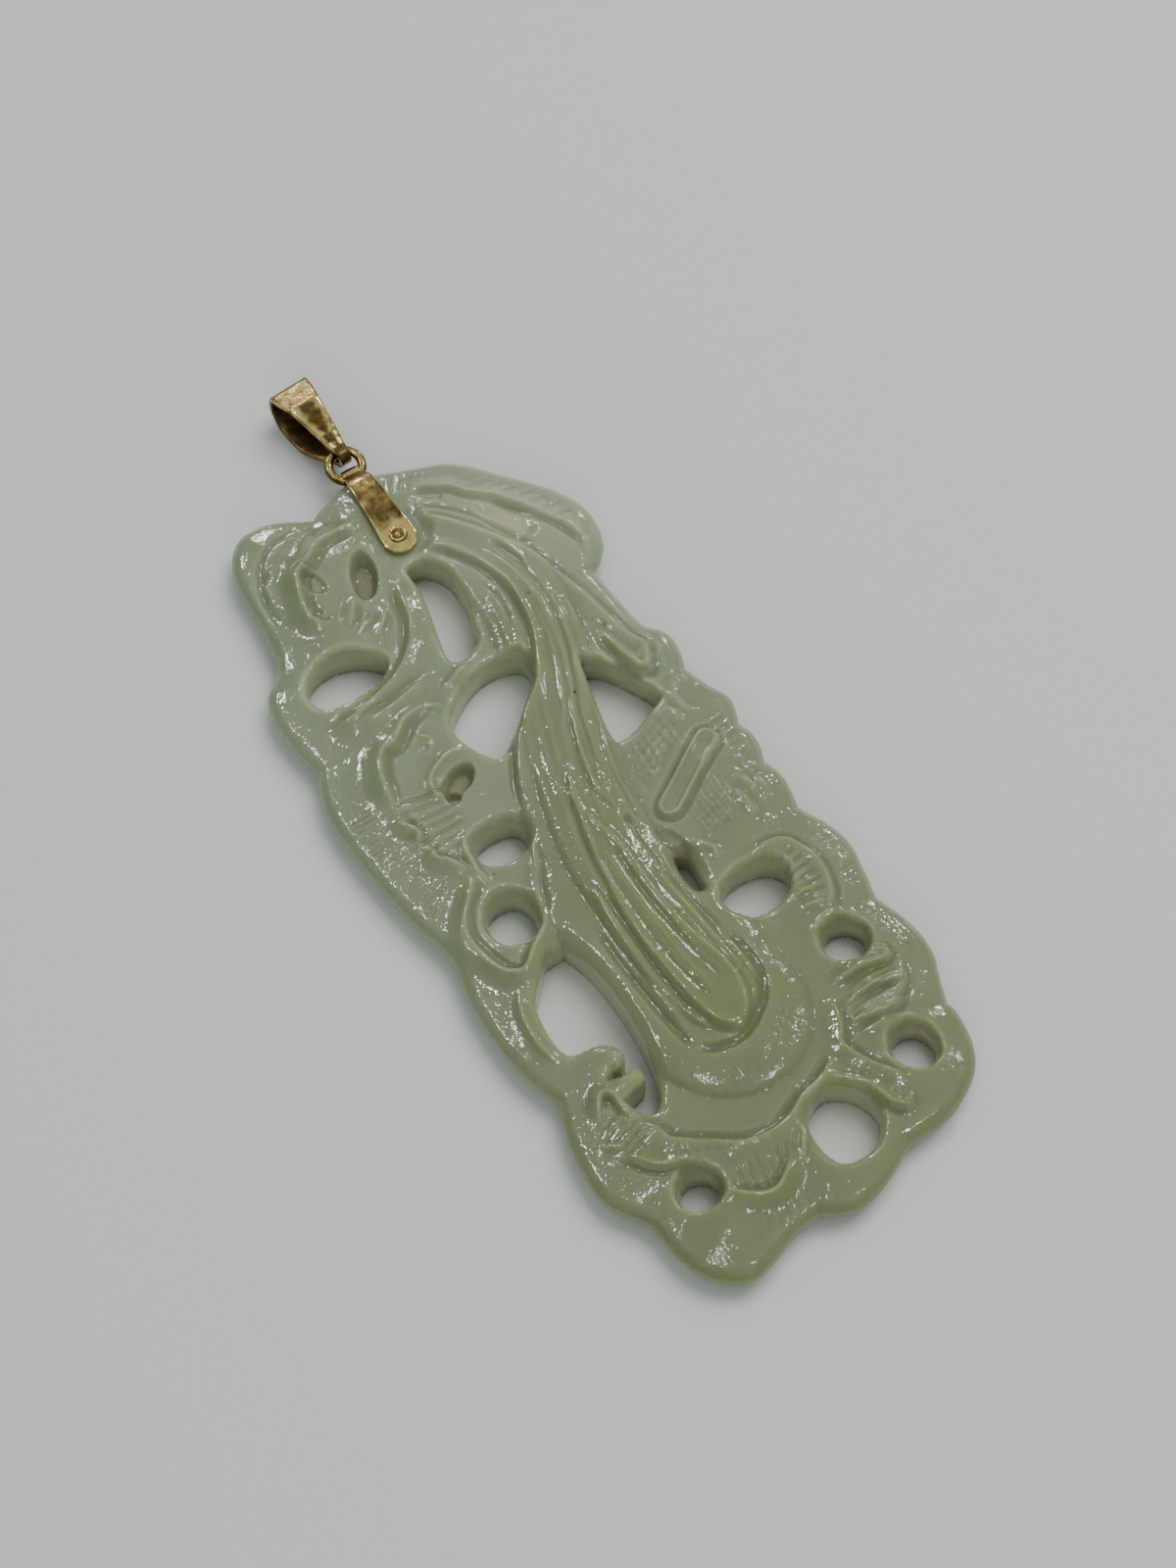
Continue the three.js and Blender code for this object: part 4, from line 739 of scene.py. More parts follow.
def buildJade():
    # face and back are the same lattice of triangles at two heights, which meet along the rounded edges
    outer = np.vstack([smoothLine(lobe)[:-1] for lobe in outlineLobes])
    noFall = (0, 1)
    loops = [outer] + [strokesToLoop(strokes) for strokes in holeStrokes.values()]
    loops.append(circleLoop(rivetPlan, jade["boreRadius"]))
    rounds = [jade["outerRound"]] + [jade["holeRound"]] * len(holeStrokes) + [jade["boreRound"]]
    falls = [noFall] + [holeFall.get(name, plainFall) for name in holeStrokes] + [noFall]
    edges = edgeTable(loops, rounds, falls)
    border = edgeTable([outer], [0], [noFall])
    step = jade["step"]
    xy, triangles = triangleLattice(outer.min(0) - 2 * step, outer.max(0) + 2 * step, step)
    xy, triangles, onEdge = clipLattice(xy, triangles, edges, step)
    xy, triangles, onEdge = splitBridges(xy, triangles, onEdge)
    used, triangles = np.unique(triangles, return_inverse=True)
    triangles = triangles.reshape(-1, 3)
    xy, onEdge = xy[used], onEdge[used]
    print("jade lattice", len(xy), "points", len(triangles), "triangles")

    depth, point, kind = nearestEdge(edges, xy)
    rounding = kind[:, 0]
    depth[onEdge] = 0
    away = (xy - point) / np.maximum(depth, 1e-9)[:, None]

    def placed(face):
        middle = jade["edgeMiddle"] + jade["seatRaise"] * seatShare(xy)
        inwards, z, reach = roundedSection(depth, rounding, middle, face)
        return point + away * inwards[:, None], z, reach

    # heights are read where the rounding moves a lattice point to
    guess, _, _ = placed(np.full(len(xy), jade["usualFace"]))
    seat = seatShare(guess)
    borderDistance = nearestEdge(border, guess)[0]
    face, low, brown, layers = faceHeight(guess, borderDistance, nearestEdge(edges, guess)[0], kind[:, 1:])
    face = face - np.maximum(face - jade["seatFace"], 0) * seat
    frontXy, frontZ, reach = placed(face)
    hollow = backHeight(guess, borderDistance) * (1 - seat) + jade["seatBack"] * seat
    backXy, backZ, _ = placed(hollow)

    # most of the back is flat: its triangles are taken out and the hole is filled with few large ones
    isFlat = (depth > reach) & (hollow < 1e-9)
    backZ[isFlat] = 0
    flatTri = isFlat[triangles].all(1)
    backTri = triangles[~flatTri]
    flatSides = np.stack([triangles[flatTri], np.roll(triangles[flatTri], -1, 1)], -1).reshape(-1, 2)
    keys = flatSides.min(1) * len(xy) + flatSides.max(1)
    _, firstAt, uses = np.unique(keys, return_index=True, return_counts=True)
    rim = flatSides[firstAt[uses == 1]]
    rimPoints, rimSides = np.unique(rim, return_inverse=True)
    rimSides = rimSides.reshape(-1, 2)
    coords = [Vector(p) for p in backXy[rimPoints]]
    sides = [tuple(map(int, side)) for side in rimSides]
    outXy, _, faces, origin, _, _ = delaunay_2d_cdt(coords, sides, [], 0, 1e-7)
    fill = np.array([f for f in faces if len(f) == 3])
    origin = np.array([rimPoints[o[0]] if o else -1 for o in origin])
    patch = {"a": backXy[rim[:, 0]], "b": backXy[rim[:, 1]]}
    middles = np.array([tuple(v) for v in outXy])[fill].mean(1)
    fill = origin[fill[insideEdges(patch, middles)]]
    fill = fill[(fill >= 0).all(1)]

    # face and back share the points of the edges
    backIndex = np.full(len(xy), -1)
    backIndex[onEdge] = np.nonzero(onEdge)[0]
    backUsed = np.unique(np.concatenate([backTri.ravel(), fill.ravel()]))
    own = backUsed[~onEdge[backUsed]]
    backIndex[own] = len(xy) + np.arange(len(own))
    frontPoints = np.column_stack([frontXy, frontZ])
    backPoints = np.column_stack([backXy, backZ])[own]
    points = np.vstack([frontPoints, backPoints])
    a, b, c = np.swapaxes(backXy[fill], 0, 1)
    facesUp = ((b - a)[:, 0] * (c - a)[:, 1] - (b - a)[:, 1] * (c - a)[:, 0]) > 0
    fill = np.where(facesUp[:, None], fill[:, ::-1], fill)
    backFaces = backIndex[np.vstack([backTri[:, ::-1], fill])]
    faces = withoutStrays(np.vstack([triangles, backFaces]), len(points))

    # red: painted glow on the walls of the holes and in thin places; green: thickness; blue: hollows, for
    # painted shade with dirt
    tone = np.zeros((len(points), 4), np.float32)
    tone[:, 3] = 1
    # painted glow: the walls of the holes are tinted lighter and yellower, as if light shone through the
    # jade
    wall = np.where((rounding <= jade["holeRound"]) & (depth < reach), 1 - depth / reach, 0)
    thickness = np.clip((face - jade["thinFace"]) / jade["thickRise"], 0, 1)
    tone[:len(xy), 0] = np.clip(wall + np.maximum(-brown, 0), 0, 1)
    tone[:len(xy), 1] = thickness
    tone[:len(xy), 2] = np.clip(low / jade["dirtAndShadeDepth"], 0, 1)
    tone[len(xy):, :2] = tone[own, :2]
    veins = np.zeros((2, len(points), 3), np.float32)
    veins[:, :len(xy), :2] = layers
    pocketBrown = np.zeros(len(points), np.float32)
    pocketBrown[:len(xy)] = np.clip(brown, 0, 1)
    return points, faces, tone, pocketBrown, veins


def newPiece(name, points, faces, node):
    # points are millimetres in the frame; the object sits at the origin
    mesh = bpy.data.meshes.new(name)
    points = np.asarray(points, np.float32) * mm
    if isinstance(faces, np.ndarray):
        mesh.vertices.add(len(points))
        mesh.vertices.foreach_set("co", points.ravel())
        mesh.loops.add(faces.size)
        mesh.loops.foreach_set("vertex_index", faces.astype(np.int32).ravel())
        mesh.polygons.add(len(faces))
        mesh.polygons.foreach_set("loop_start", np.arange(0, faces.size, faces.shape[1], dtype=np.int32))
        mesh.polygons.foreach_set("loop_total", np.full(len(faces), faces.shape[1], np.int32))
    else:
        mesh.from_pydata(points.tolist(), [], faces)
    mesh.update(calc_edges=True)
    mesh.validate()
    mesh.polygons.foreach_set("use_smooth", np.ones(len(mesh.polygons), bool))
    piece = bpy.data.objects.new(name, mesh)
    bpy.context.scene.collection.objects.link(piece)
    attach(piece, "root")
    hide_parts(node)
    return piece


points, faces, tone, pocketBrown, veins = buildJade()
points[:, :2] += planShift
carving = newPiece("jadeCarving", points, faces, "jade_carving")
toneLayer = carving.data.color_attributes.new("tone", "FLOAT_COLOR", "POINT")
toneLayer.data.foreach_set("color", tone.ravel())
carving.data.attributes.new("pocketBrown", "FLOAT", "POINT").data.foreach_set("value", pocketBrown)
for name, values in zip(("veinsA", "veinsB"), veins):
    carving.data.attributes.new(name, "FLOAT_VECTOR", "POINT").data.foreach_set("vector", values.ravel())
print("jade carving", len(faces), "triangles")


# gold parts, in the strap's own frame: millimetres, rivet axis at the origin, +Y towards the bail
strapShape = {
    "thickness": 0.36, "endRadius": 1.24, "overhang": 1.45, "frontLeaf": 3.25, "backLeaf": 0.48,
    "topEdge": 5.52, "foldAt": 6.54, "foldRadius": 0.72, "foldHeight": 1.8,
    "bendRise": 0.09, "bendAt": 2.5, "bendLength": 1.6,
    "widths": [(-1.5, 1.24), (0.2, 1.24), (1.4, 1.15), (2.7, 1.05), (4.4, 0.98), (5.6, 0.93), (6.1, 0.8),
               (6.5, 0.66), (8.0, 0.64)],  # half of them, by the place along the strap
}
rivetShape = {"pin": 0.4, "radius": 0.68, "height": 0.17, "play": 0.02, "sides": 40,
              "eye": [(0, 0.95), (0.14, 0.92), (0.26, 0.72), (0.32, 0.3), (0.4, 0.1), (0.52, 0.12),
                      (0.6, 0.4), (0.68, 0.85), (0.78, 1.0), (0.88, 0.9), (0.96, 0.55), (1.0, 0)]}
ringShape = {"radius": 1.18, "wire": 0.32, "tilt": 13, "centre": (0, 7.75, 2.09), "rows": 64, "columns": 20}
# side view of the bail round the ring's wire, its half widths in front and behind by the place along it,
# and the shield-shaped facet between its crease and its low end
bailShape = {
    "thickness": 0.42, "hug": 0.71, "wireAt": 8.744, "ringHeight": 2.331, "shift": 0.12, "lean": 5.5,
    "bevelDrop": 0.5,
    "back": [(9.35, 1.42), (10.37, 1.0), (11.78, 0.5), (13.2, 0.27), (13.95, 0.33), (14.5, 0.6)],
    "crown": [(15.0, 1.2), (15.2, 1.9), (15.17, 2.5), (15.08, 2.82), (14.9, 2.99)],
    "front": [(14.2, 3.2), (13.5, 3.41), (13.12, 3.515), (13.0, 3.52), (12.3, 3.46), (11.2, 3.32),
              (10.2, 3.17), (9.4, 3.07)],
    "frontHalf": [(8.0, 0.42), (8.74, 0.5), (9.7, 0.7), (11.5, 0.97), (13.05, 1.22), (14.0, 1.42),
                  (15.2, 1.56)],
    "backHalf": [(8.0, 0.42), (8.74, 0.55), (9.7, 1.0), (10.6, 1.32), (11.7, 1.54), (14.2, 1.6),
                 (15.2, 1.57)],
    "facet": (13.05, 10.1, 0.87),
}


def toHanging(points):
    # turns and moves points from the strap's frame into the object's
    x, y, z = np.asarray(points, float).T
    across = x * math.cos(hangerTurn) - y * math.sin(hangerTurn) + rivetPlan[0] + planShift[0]
    along = x * math.sin(hangerTurn) + y * math.cos(hangerTurn) + rivetPlan[1] + planShift[1]
    return np.stack([across, along, z], 1)


def gridFaces(rows, columns, closedRows):
    # quads between neighbouring rows of points; the columns always close
    i, j = np.meshgrid(np.arange(rows if closedRows else rows - 1), np.arange(columns), indexing="ij")
    ni, nj = (i + 1) % rows, (j + 1) % columns
    row, nextRow = i * columns, ni * columns
    return np.stack([row + j, row + nj, nextRow + nj, nextRow + j], -1).reshape(-1, 4)


def sweptBand(path, half, thickness, section, closed):
    # a section (share across, share of half the thickness) carried along a side view of (y, z) points
    if closed:
        along = np.roll(path, -1, 0) - np.roll(path, 1, 0)
    else:
        along = np.gradient(path, axis=0)
    along = along / np.hypot(*along.T)[:, None]
    normal = np.stack([-along[:, 1], along[:, 0]], 1)
    across, out = section[..., 0], section[..., 1]
    x = across * half[:, None]
    offset = out * thickness[:, None] / 2
    y = path[:, 0, None] + normal[:, 0, None] * offset
    z = path[:, 1, None] + normal[:, 1, None] * offset
    return np.stack([np.broadcast_to(x, y.shape), y, z], -1)


def closeEnds(grid, faces, first, last):
    # a point at each end and triangles to it
    rows, columns = grid.shape[:2]
    points = np.vstack([grid.reshape(-1, 3), [first], [last]])
    j = np.arange(columns)
    nj = (j + 1) % columns
    start = np.stack([np.full(columns, rows * columns), nj, j], 1)
    base = (rows - 1) * columns
    end = np.stack([np.full(columns, rows * columns + 1), base + j, base + nj], 1)
    return points, faces.tolist() + start.tolist() + end.tolist()


def buildStrap():
    # front leaf, fold round the ring and back leaf in one side view; round ends; a soft-edged flat section
    s = strapShape
    a = np.linspace(0.06, np.pi / 2, 14)
    endY = -s["overhang"] + s["endRadius"] * (1 - np.cos(a))
    straight = np.linspace(endY[-1], s["topEdge"] - 1.0, 22)[1:]
    leafY = np.concatenate([endY, straight])
    endHalf = np.concatenate([s["endRadius"] * np.sin(a), np.full(len(straight), 9.0)])
    # the front leaf is bent over a low crest a third of the way up
    bend = s["bendRise"] * np.exp(-((leafY - s["bendAt"]) / s["bendLength"]) ** 2)
    front = np.stack([leafY, s["frontLeaf"] + 0.02 + bend], 1)
    back = np.stack([leafY, np.full(len(leafY), s["backLeaf"])], 1)
    b = np.linspace(np.pi / 2, -np.pi / 2, 21)
    fold = s["foldRadius"] * np.stack([np.cos(b), np.sin(b)], 1) + (s["foldAt"], s["foldHeight"])
    top = smoothLine([front[-1], (s["topEdge"] - 0.35, s["frontLeaf"] - 0.06),
                      (s["topEdge"] + 0.15, s["frontLeaf"] - 0.24), fold[0]], 0.15)
    low = smoothLine([fold[-1], (s["topEdge"] + 0.15, s["backLeaf"] + 0.2),
                      (s["topEdge"] - 0.35, s["backLeaf"] + 0.04), back[-1]], 0.15)
    path = np.vstack([front[:-1], top[:-1], fold[:-1], low[:-1], back[::-1]])
    half = np.interp(path[:, 0], *np.array(s["widths"]).T)
    half[:len(leafY)] = np.minimum(half[:len(leafY)], endHalf)
    half[-len(leafY):] = np.minimum(half[-len(leafY):], endHalf[::-1])
    t = np.arange(32) * 2 * np.pi / 32
    across = -np.sign(np.cos(t)) * np.abs(np.cos(t)) ** 0.22
    section = np.stack([across, np.sign(np.sin(t)) * np.abs(np.sin(t)) ** 0.5], 1)
    fromEnd = np.minimum(np.arange(len(path)), np.arange(len(path))[::-1])
    thickness = s["thickness"] * np.clip((fromEnd + 1.0) / 5, 0, 1) ** 0.45
    grid = sweptBand(path, half, thickness, section[None], False)
    ends = [(0, path[k, 0] - 0.01, path[k, 1]) for k in (0, -1)]
    points, faces = closeEnds(grid, gridFaces(*grid.shape[:2], False), *ends)
    edge = np.abs(section[:, 0]) ** 10
    # painted sheen: the lower end, and a band below the top edge, are made brighter; the edges are rubbed
    bright = np.exp(-((path[:, 0] + 0.3) / 1.7) ** 4) + 0.25 * np.exp(-((path[:, 0] - 5.4) / 0.8) ** 2)
    wearAndSheen = np.clip(bright[:, None] + edge[None] * 0.8, 0, 1).ravel()
    return points, faces, np.concatenate([wearAndSheen, [1, 1]])


def buildRivet():
    # an eye in section at each end of the pin, turned about its axis
    s, r = strapShape, rivetShape
    eye = np.array(r["eye"])
    rim = [s["frontLeaf"] + s["thickness"] / 2 + r["play"], s["backLeaf"] - s["thickness"] / 2 - r["play"]]
    upper = np.stack([eye[:, 0] * r["radius"], rim[0] + eye[:, 1] * r["height"]], 1)
    lower = np.stack([eye[:, 0] * r["radius"], rim[1] - eye[:, 1] * r["height"]], 1)
    pin = np.array([(r["pin"], rim[0]), (r["pin"], rim[1])])
    profile = np.vstack([upper[1:], pin, lower[:0:-1]])
    t = np.arange(r["sides"]) * 2 * np.pi / r["sides"]
    radius, height = profile[:, :1], profile[:, 1:]
    grid = np.stack([radius * np.cos(t), radius * np.sin(t), height + 0 * t], -1)
    faces = gridFaces(*grid.shape[:2], False)[:, ::-1]
    points, faceList = closeEnds(grid, faces, (0, 0, upper[0, 1]), (0, 0, lower[0, 1]))
    faceList = [f if len(f) == 4 else f[::-1] for f in faceList]
    raised = np.clip(np.concatenate([eye[1:, 1], [0, 0], eye[:0:-1, 1]]), 0, 1)
    return points, faceList, np.concatenate([np.repeat(raised, r["sides"]), [1, 1]])


def buildRing():
    # a torus whose wire is slightly thinner at two places opposite each other
    r = ringShape
    u = np.arange(r["rows"])[:, None] * 2 * np.pi / r["rows"]
    v = np.arange(r["columns"])[None] * 2 * np.pi / r["columns"]
    wire = r["wire"] * (1 - 0.04 * np.cos(u - 0.8) ** 6 + 0 * v)
    reach = r["radius"] + wire * np.cos(v)
    flat, out = reach * np.sin(u), wire * np.sin(v) + 0 * u
    c, s = math.cos(math.radians(r["tilt"])), math.sin(math.radians(r["tilt"]))
    grid = np.stack([reach * np.cos(u), flat * c - out * s, flat * s + out * c], -1) + np.array(r["centre"])
    # painted light: the wire is lighter along its upper side
    wearAndSheen = 0.15 + 0.5 * np.clip(np.sin(v) + 0 * u, 0, 1) ** 4
    return grid.reshape(-1, 3), gridFaces(r["rows"], r["columns"], True)[:, ::-1], wearAndSheen.ravel()


def buildBail():
    # a closed side view; the outer face is bevelled beside the facet in front and is plain elsewhere
    b = bailShape
    t = np.linspace(0, np.pi, 11)
    foot = np.stack([b["wireAt"] - b["hug"] * np.sin(t), b["ringHeight"] + b["hug"] * np.cos(t)], 1)
    path = smoothLine(np.vstack([foot, b["back"], b["crown"], b["front"]]), 0.09, closed=True)
    y, z = path.T
    inFront = smoothstep(z, 1.2, 2.7)
    frontHalf, backHalf = (np.interp(y, *np.array(b[k]).T) for k in ("frontHalf", "backHalf"))
    half = backHalf + (frontHalf - backHalf) * inFront
    # the facet narrows to its low end as the root of 1 - share^3, a U
    crease, lowEnd, facetHalf = b["facet"]
    share = np.clip((crease - y) / (crease - lowEnd), 0, 1)
    facet = facetHalf * np.sqrt(1 - share ** 3) * (1 - 0.12 * share)
    isFacet = (z > 2.9) & (y < crease) & (y > b["wireAt"])
    flat = np.where(isFacet, np.maximum(facet / half, 0.1), 0.93)[:, None]
    blend = np.where(isFacet, 1 - 0.5 * smoothstep(share, 0.8, 1), 0.25)[:, None]
    ones = np.ones_like(flat)
    drop = 1 - b["bevelDrop"] * blend
    across = [-0.97, -1, -1, -0.98, -(flat + 0.03), -(flat - 0.03), -flat * 0.4, flat * 0.4, flat - 0.03,
              flat + 0.03, 0.98, 1, 1, 0.97, 0.4, -0.4]
    # the outer face is level in the middle and falls to its bevels on both sides; the inner face is flat
    rising = [-1, -0.9, drop - 0.2, drop - 0.05, 0.95, 1, 1]
    out = rising + rising[::-1] + [-1, -1]
    section = np.stack([np.hstack([a * ones for a in across]), np.hstack([o * ones for o in out])], -1)
    # the normal of the side view points inwards along this way round, so outer and inner are exchanged
    section = section[:, ::-1] * [1, -1]
    thickness = np.full(len(path), b["thickness"])
    grid = sweptBand(path, half, thickness, section, True)
    wearAndSheen = np.zeros(grid.shape[:2])
    # painted highlights: bright lines along the facet's edges and across its crease; the outer edges are
    # brighter on the upper front side, partly rubbed and partly painted highlight; a little rubbed at the
    # foot by the ring
    onFacet = isFacet * (1 - smoothstep(share, 0.97, 1.0))
    wearAndSheen[:, [6, 7, 10, 11]] = onFacet[:, None]
    wearAndSheen[:, [4, 5, 12, 13]] = 0.75 * smoothstep(z, 1.5, 2.8)[:, None]
    onCrease = np.exp(-(np.hypot(y - crease, z - 3.52) / 0.14) ** 2)
    onFoot = 0.3 * np.exp(-((y - 9.2) / 0.5) ** 2) * inFront
    wearAndSheen[:, 6:12] = np.maximum(wearAndSheen[:, 6:12], (onCrease + onFoot)[:, None])
    turn = math.radians(b["lean"])
    x, along, up = grid.reshape(-1, 3).T
    along = along - b["wireAt"]
    points = np.stack([x * math.cos(turn) - along * math.sin(turn) + b["shift"],
                       x * math.sin(turn) + along * math.cos(turn) + b["wireAt"], up], 1)
    return points, gridFaces(*grid.shape[:2], True), np.clip(wearAndSheen, 0, 1).ravel()


goldPieces = []
for name, build, node in (("goldStrap", buildStrap, "strap"), ("goldRivet", buildRivet, "rivet"),
                          ("wireRing", buildRing, "link_ring"), ("goldBail", buildBail, "bail")):
    points, faces, wearAndSheen = build()
    piece = newPiece(name, toHanging(points), faces, node)
    piece.data.attributes.new("wearAndSheen", "FLOAT", "POINT").data.foreach_set("value", wearAndSheen.astype(np.float32))
    goldPieces.append(piece)
    print(name, "done")


def nodeMaterial(name):
    material = bpy.data.materials.new(name)
    material.use_nodes = True
    tree = material.node_tree
    shader = next(n for n in tree.nodes if n.type == "BSDF_PRINCIPLED")
    return material, tree, shader


def feed(tree, socket, value):
    # a socket takes a link from another node, or a plain value
    if hasattr(value, "is_output"):
        tree.links.new(value, socket)
    else:
        socket.default_value = value


def addNode(tree, kind, settings=None, inputs=None):
    node = tree.nodes.new(kind)
    for key, value in (settings or {}).items():
        setattr(node, key, value)
    for key, value in (inputs or {}).items():
        feed(tree, node.inputs[key], value)
    return node


def mixColour(tree, factor, a, b):
    return addNode(tree, "ShaderNodeMix", {"data_type": "RGBA"}, {0: factor, 6: a, 7: b}).outputs[2]


def mathNode(tree, operation, *values, clamp=False):
    settings = {"operation": operation, "use_clamp": clamp}
    return addNode(tree, "ShaderNodeMath", settings, dict(enumerate(values))).outputs[0]


def noiseNode(tree, vector, scale, detail=3.0):
    inputs = {"Vector": vector, "Scale": scale, "Detail": detail, "Roughness": 0.55}
    return addNode(tree, "ShaderNodeTexNoise", {}, inputs).outputs["Fac"]


black = (0, 0, 0, 1)
white = (1, 1, 1, 1)


def rampNode(tree, factor, stops):
    node = addNode(tree, "ShaderNodeValToRGB", {}, {"Fac": factor})
    ramp = node.color_ramp
    ramp.elements[0].position, ramp.elements[0].color = stops[0]
    ramp.elements[1].position, ramp.elements[1].color = stops[-1]
    for position, colour in stops[1:-1]:
        ramp.elements.new(position).color = colour
    return node.outputs["Color"]


jadeLook = {
    "pale": (0.25, 0.295, 0.19, 1),
    "grey": (0.22, 0.265, 0.165, 1),
    "olive": (0.18, 0.21, 0.10, 1),
    "lowEnd": (0.165, 0.185, 0.085, 1),
    # yellower and lighter walls of the holes, partly their tint and partly a painted glow
    "wall": (0.44, 0.44, 0.26, 1),
    "pocketBrown": (0.19, 0.16, 0.06, 1),
    # dark colour for dust and vein lines, and for painted shade with dirt in the hollows
    "grimeAndShade": (0.10, 0.095, 0.045, 1),
    # paler upper right leaf: a painted glow of light through its thin jade
    "leafGlow": (0.42, 0.46, 0.34, 1),
    "inclusion": (0.03, 0.02, 0.01, 1),
    "faintest": (0.35, 0.35, 0.35, 1),  # least share of the pocket brown, as a grey
    "scatter": (1.0, 1.1, 0.75),
    "scatterScale": 0.0022,
    "roughness": 0.03,
    "roughSpread": 0.14,
    "refraction": 1.6,
    # how strongly each colour shows where it does
    "lowEndShare": 0.8,
    "lowEndFrom": 0.006,  # metres along the carving, where its olive end begins and is strongest
    "lowEndTo": -0.034,
    "leafGlowShare": 0.45,
    "wallGlowShare": 0.75,
    "hollowDirtAndShadeShare": 0.25,
    "veinShare": 0.65,
    "pocketBrownShare": 0.7,
    "dustShare": 0.6,
    # patterns for each metre: clouds, pocket brown, dust, gloss, tool marks and their fine grain
    "cloudScale": 130.0,
    "pocketBrownScale": 900.0,
    "dustScale": 1300.0,
    "glossScale": 700.0,
    "toolScale": 1500.0,
    "grainScale": 4200.0,
    "paleLeaf": ((10.5, 27.5), 9.0),
    "specks": [((5.43, 11.67), 0.17, 0.0043), ((8.13, 14.94), 0.12, 0.0042), ((1.32, -26.23), 0.3, 0.0026),
               ((-10.47, -26.36), 0.16, 0.0028)],  # dark inclusions: plan point, radius and height
}


def spotMask(tree, place, centre, radius, soft, height=0.0035):
    # 1 inside a ball round a plan point, falling to 0 over the soft share of its radius
    middle = ((centre[0] + planShift[0]) * mm, (centre[1] + planShift[1]) * mm, height)
    gap = addNode(tree, "ShaderNodeVectorMath", {"operation": "DISTANCE"}, {0: place, 1: middle})
    span = addNode(tree, "ShaderNodeMapRange", {}, {"Value": gap.outputs["Value"], "From Min": radius * mm,
                                                     "From Max": radius * mm * (1 - soft)})
    return span.outputs["Result"]


def veinLines(tree, place, name, count=3):
    # thin dark lines where the vein number is near a whole number, broken and shifted by noise
    source = addNode(tree, "ShaderNodeAttribute", {"attribute_name": name})
    parts = addNode(tree, "ShaderNodeSeparateXYZ", {}, {"Vector": source.outputs["Vector"]})
    wander = noiseNode(tree, place, 800.0, 2.0)
    number = mathNode(tree, "MULTIPLY", parts.outputs[0], float(count))
    shifted = mathNode(tree, "ADD", number, mathNode(tree, "MULTIPLY", wander, 0.9))
    offset = mathNode(tree, "PINGPONG", shifted, 0.5)
    line = mathNode(tree, "MULTIPLY_ADD", offset, -7.0, 1.0, clamp=True)
    broken = rampNode(tree, noiseNode(tree, place, 380.0, 2.0), [(0.38, black), (0.6, white)])
    shown = mathNode(tree, "MULTIPLY", parts.outputs[1], broken)
    return mathNode(tree, "MULTIPLY", line, shown)


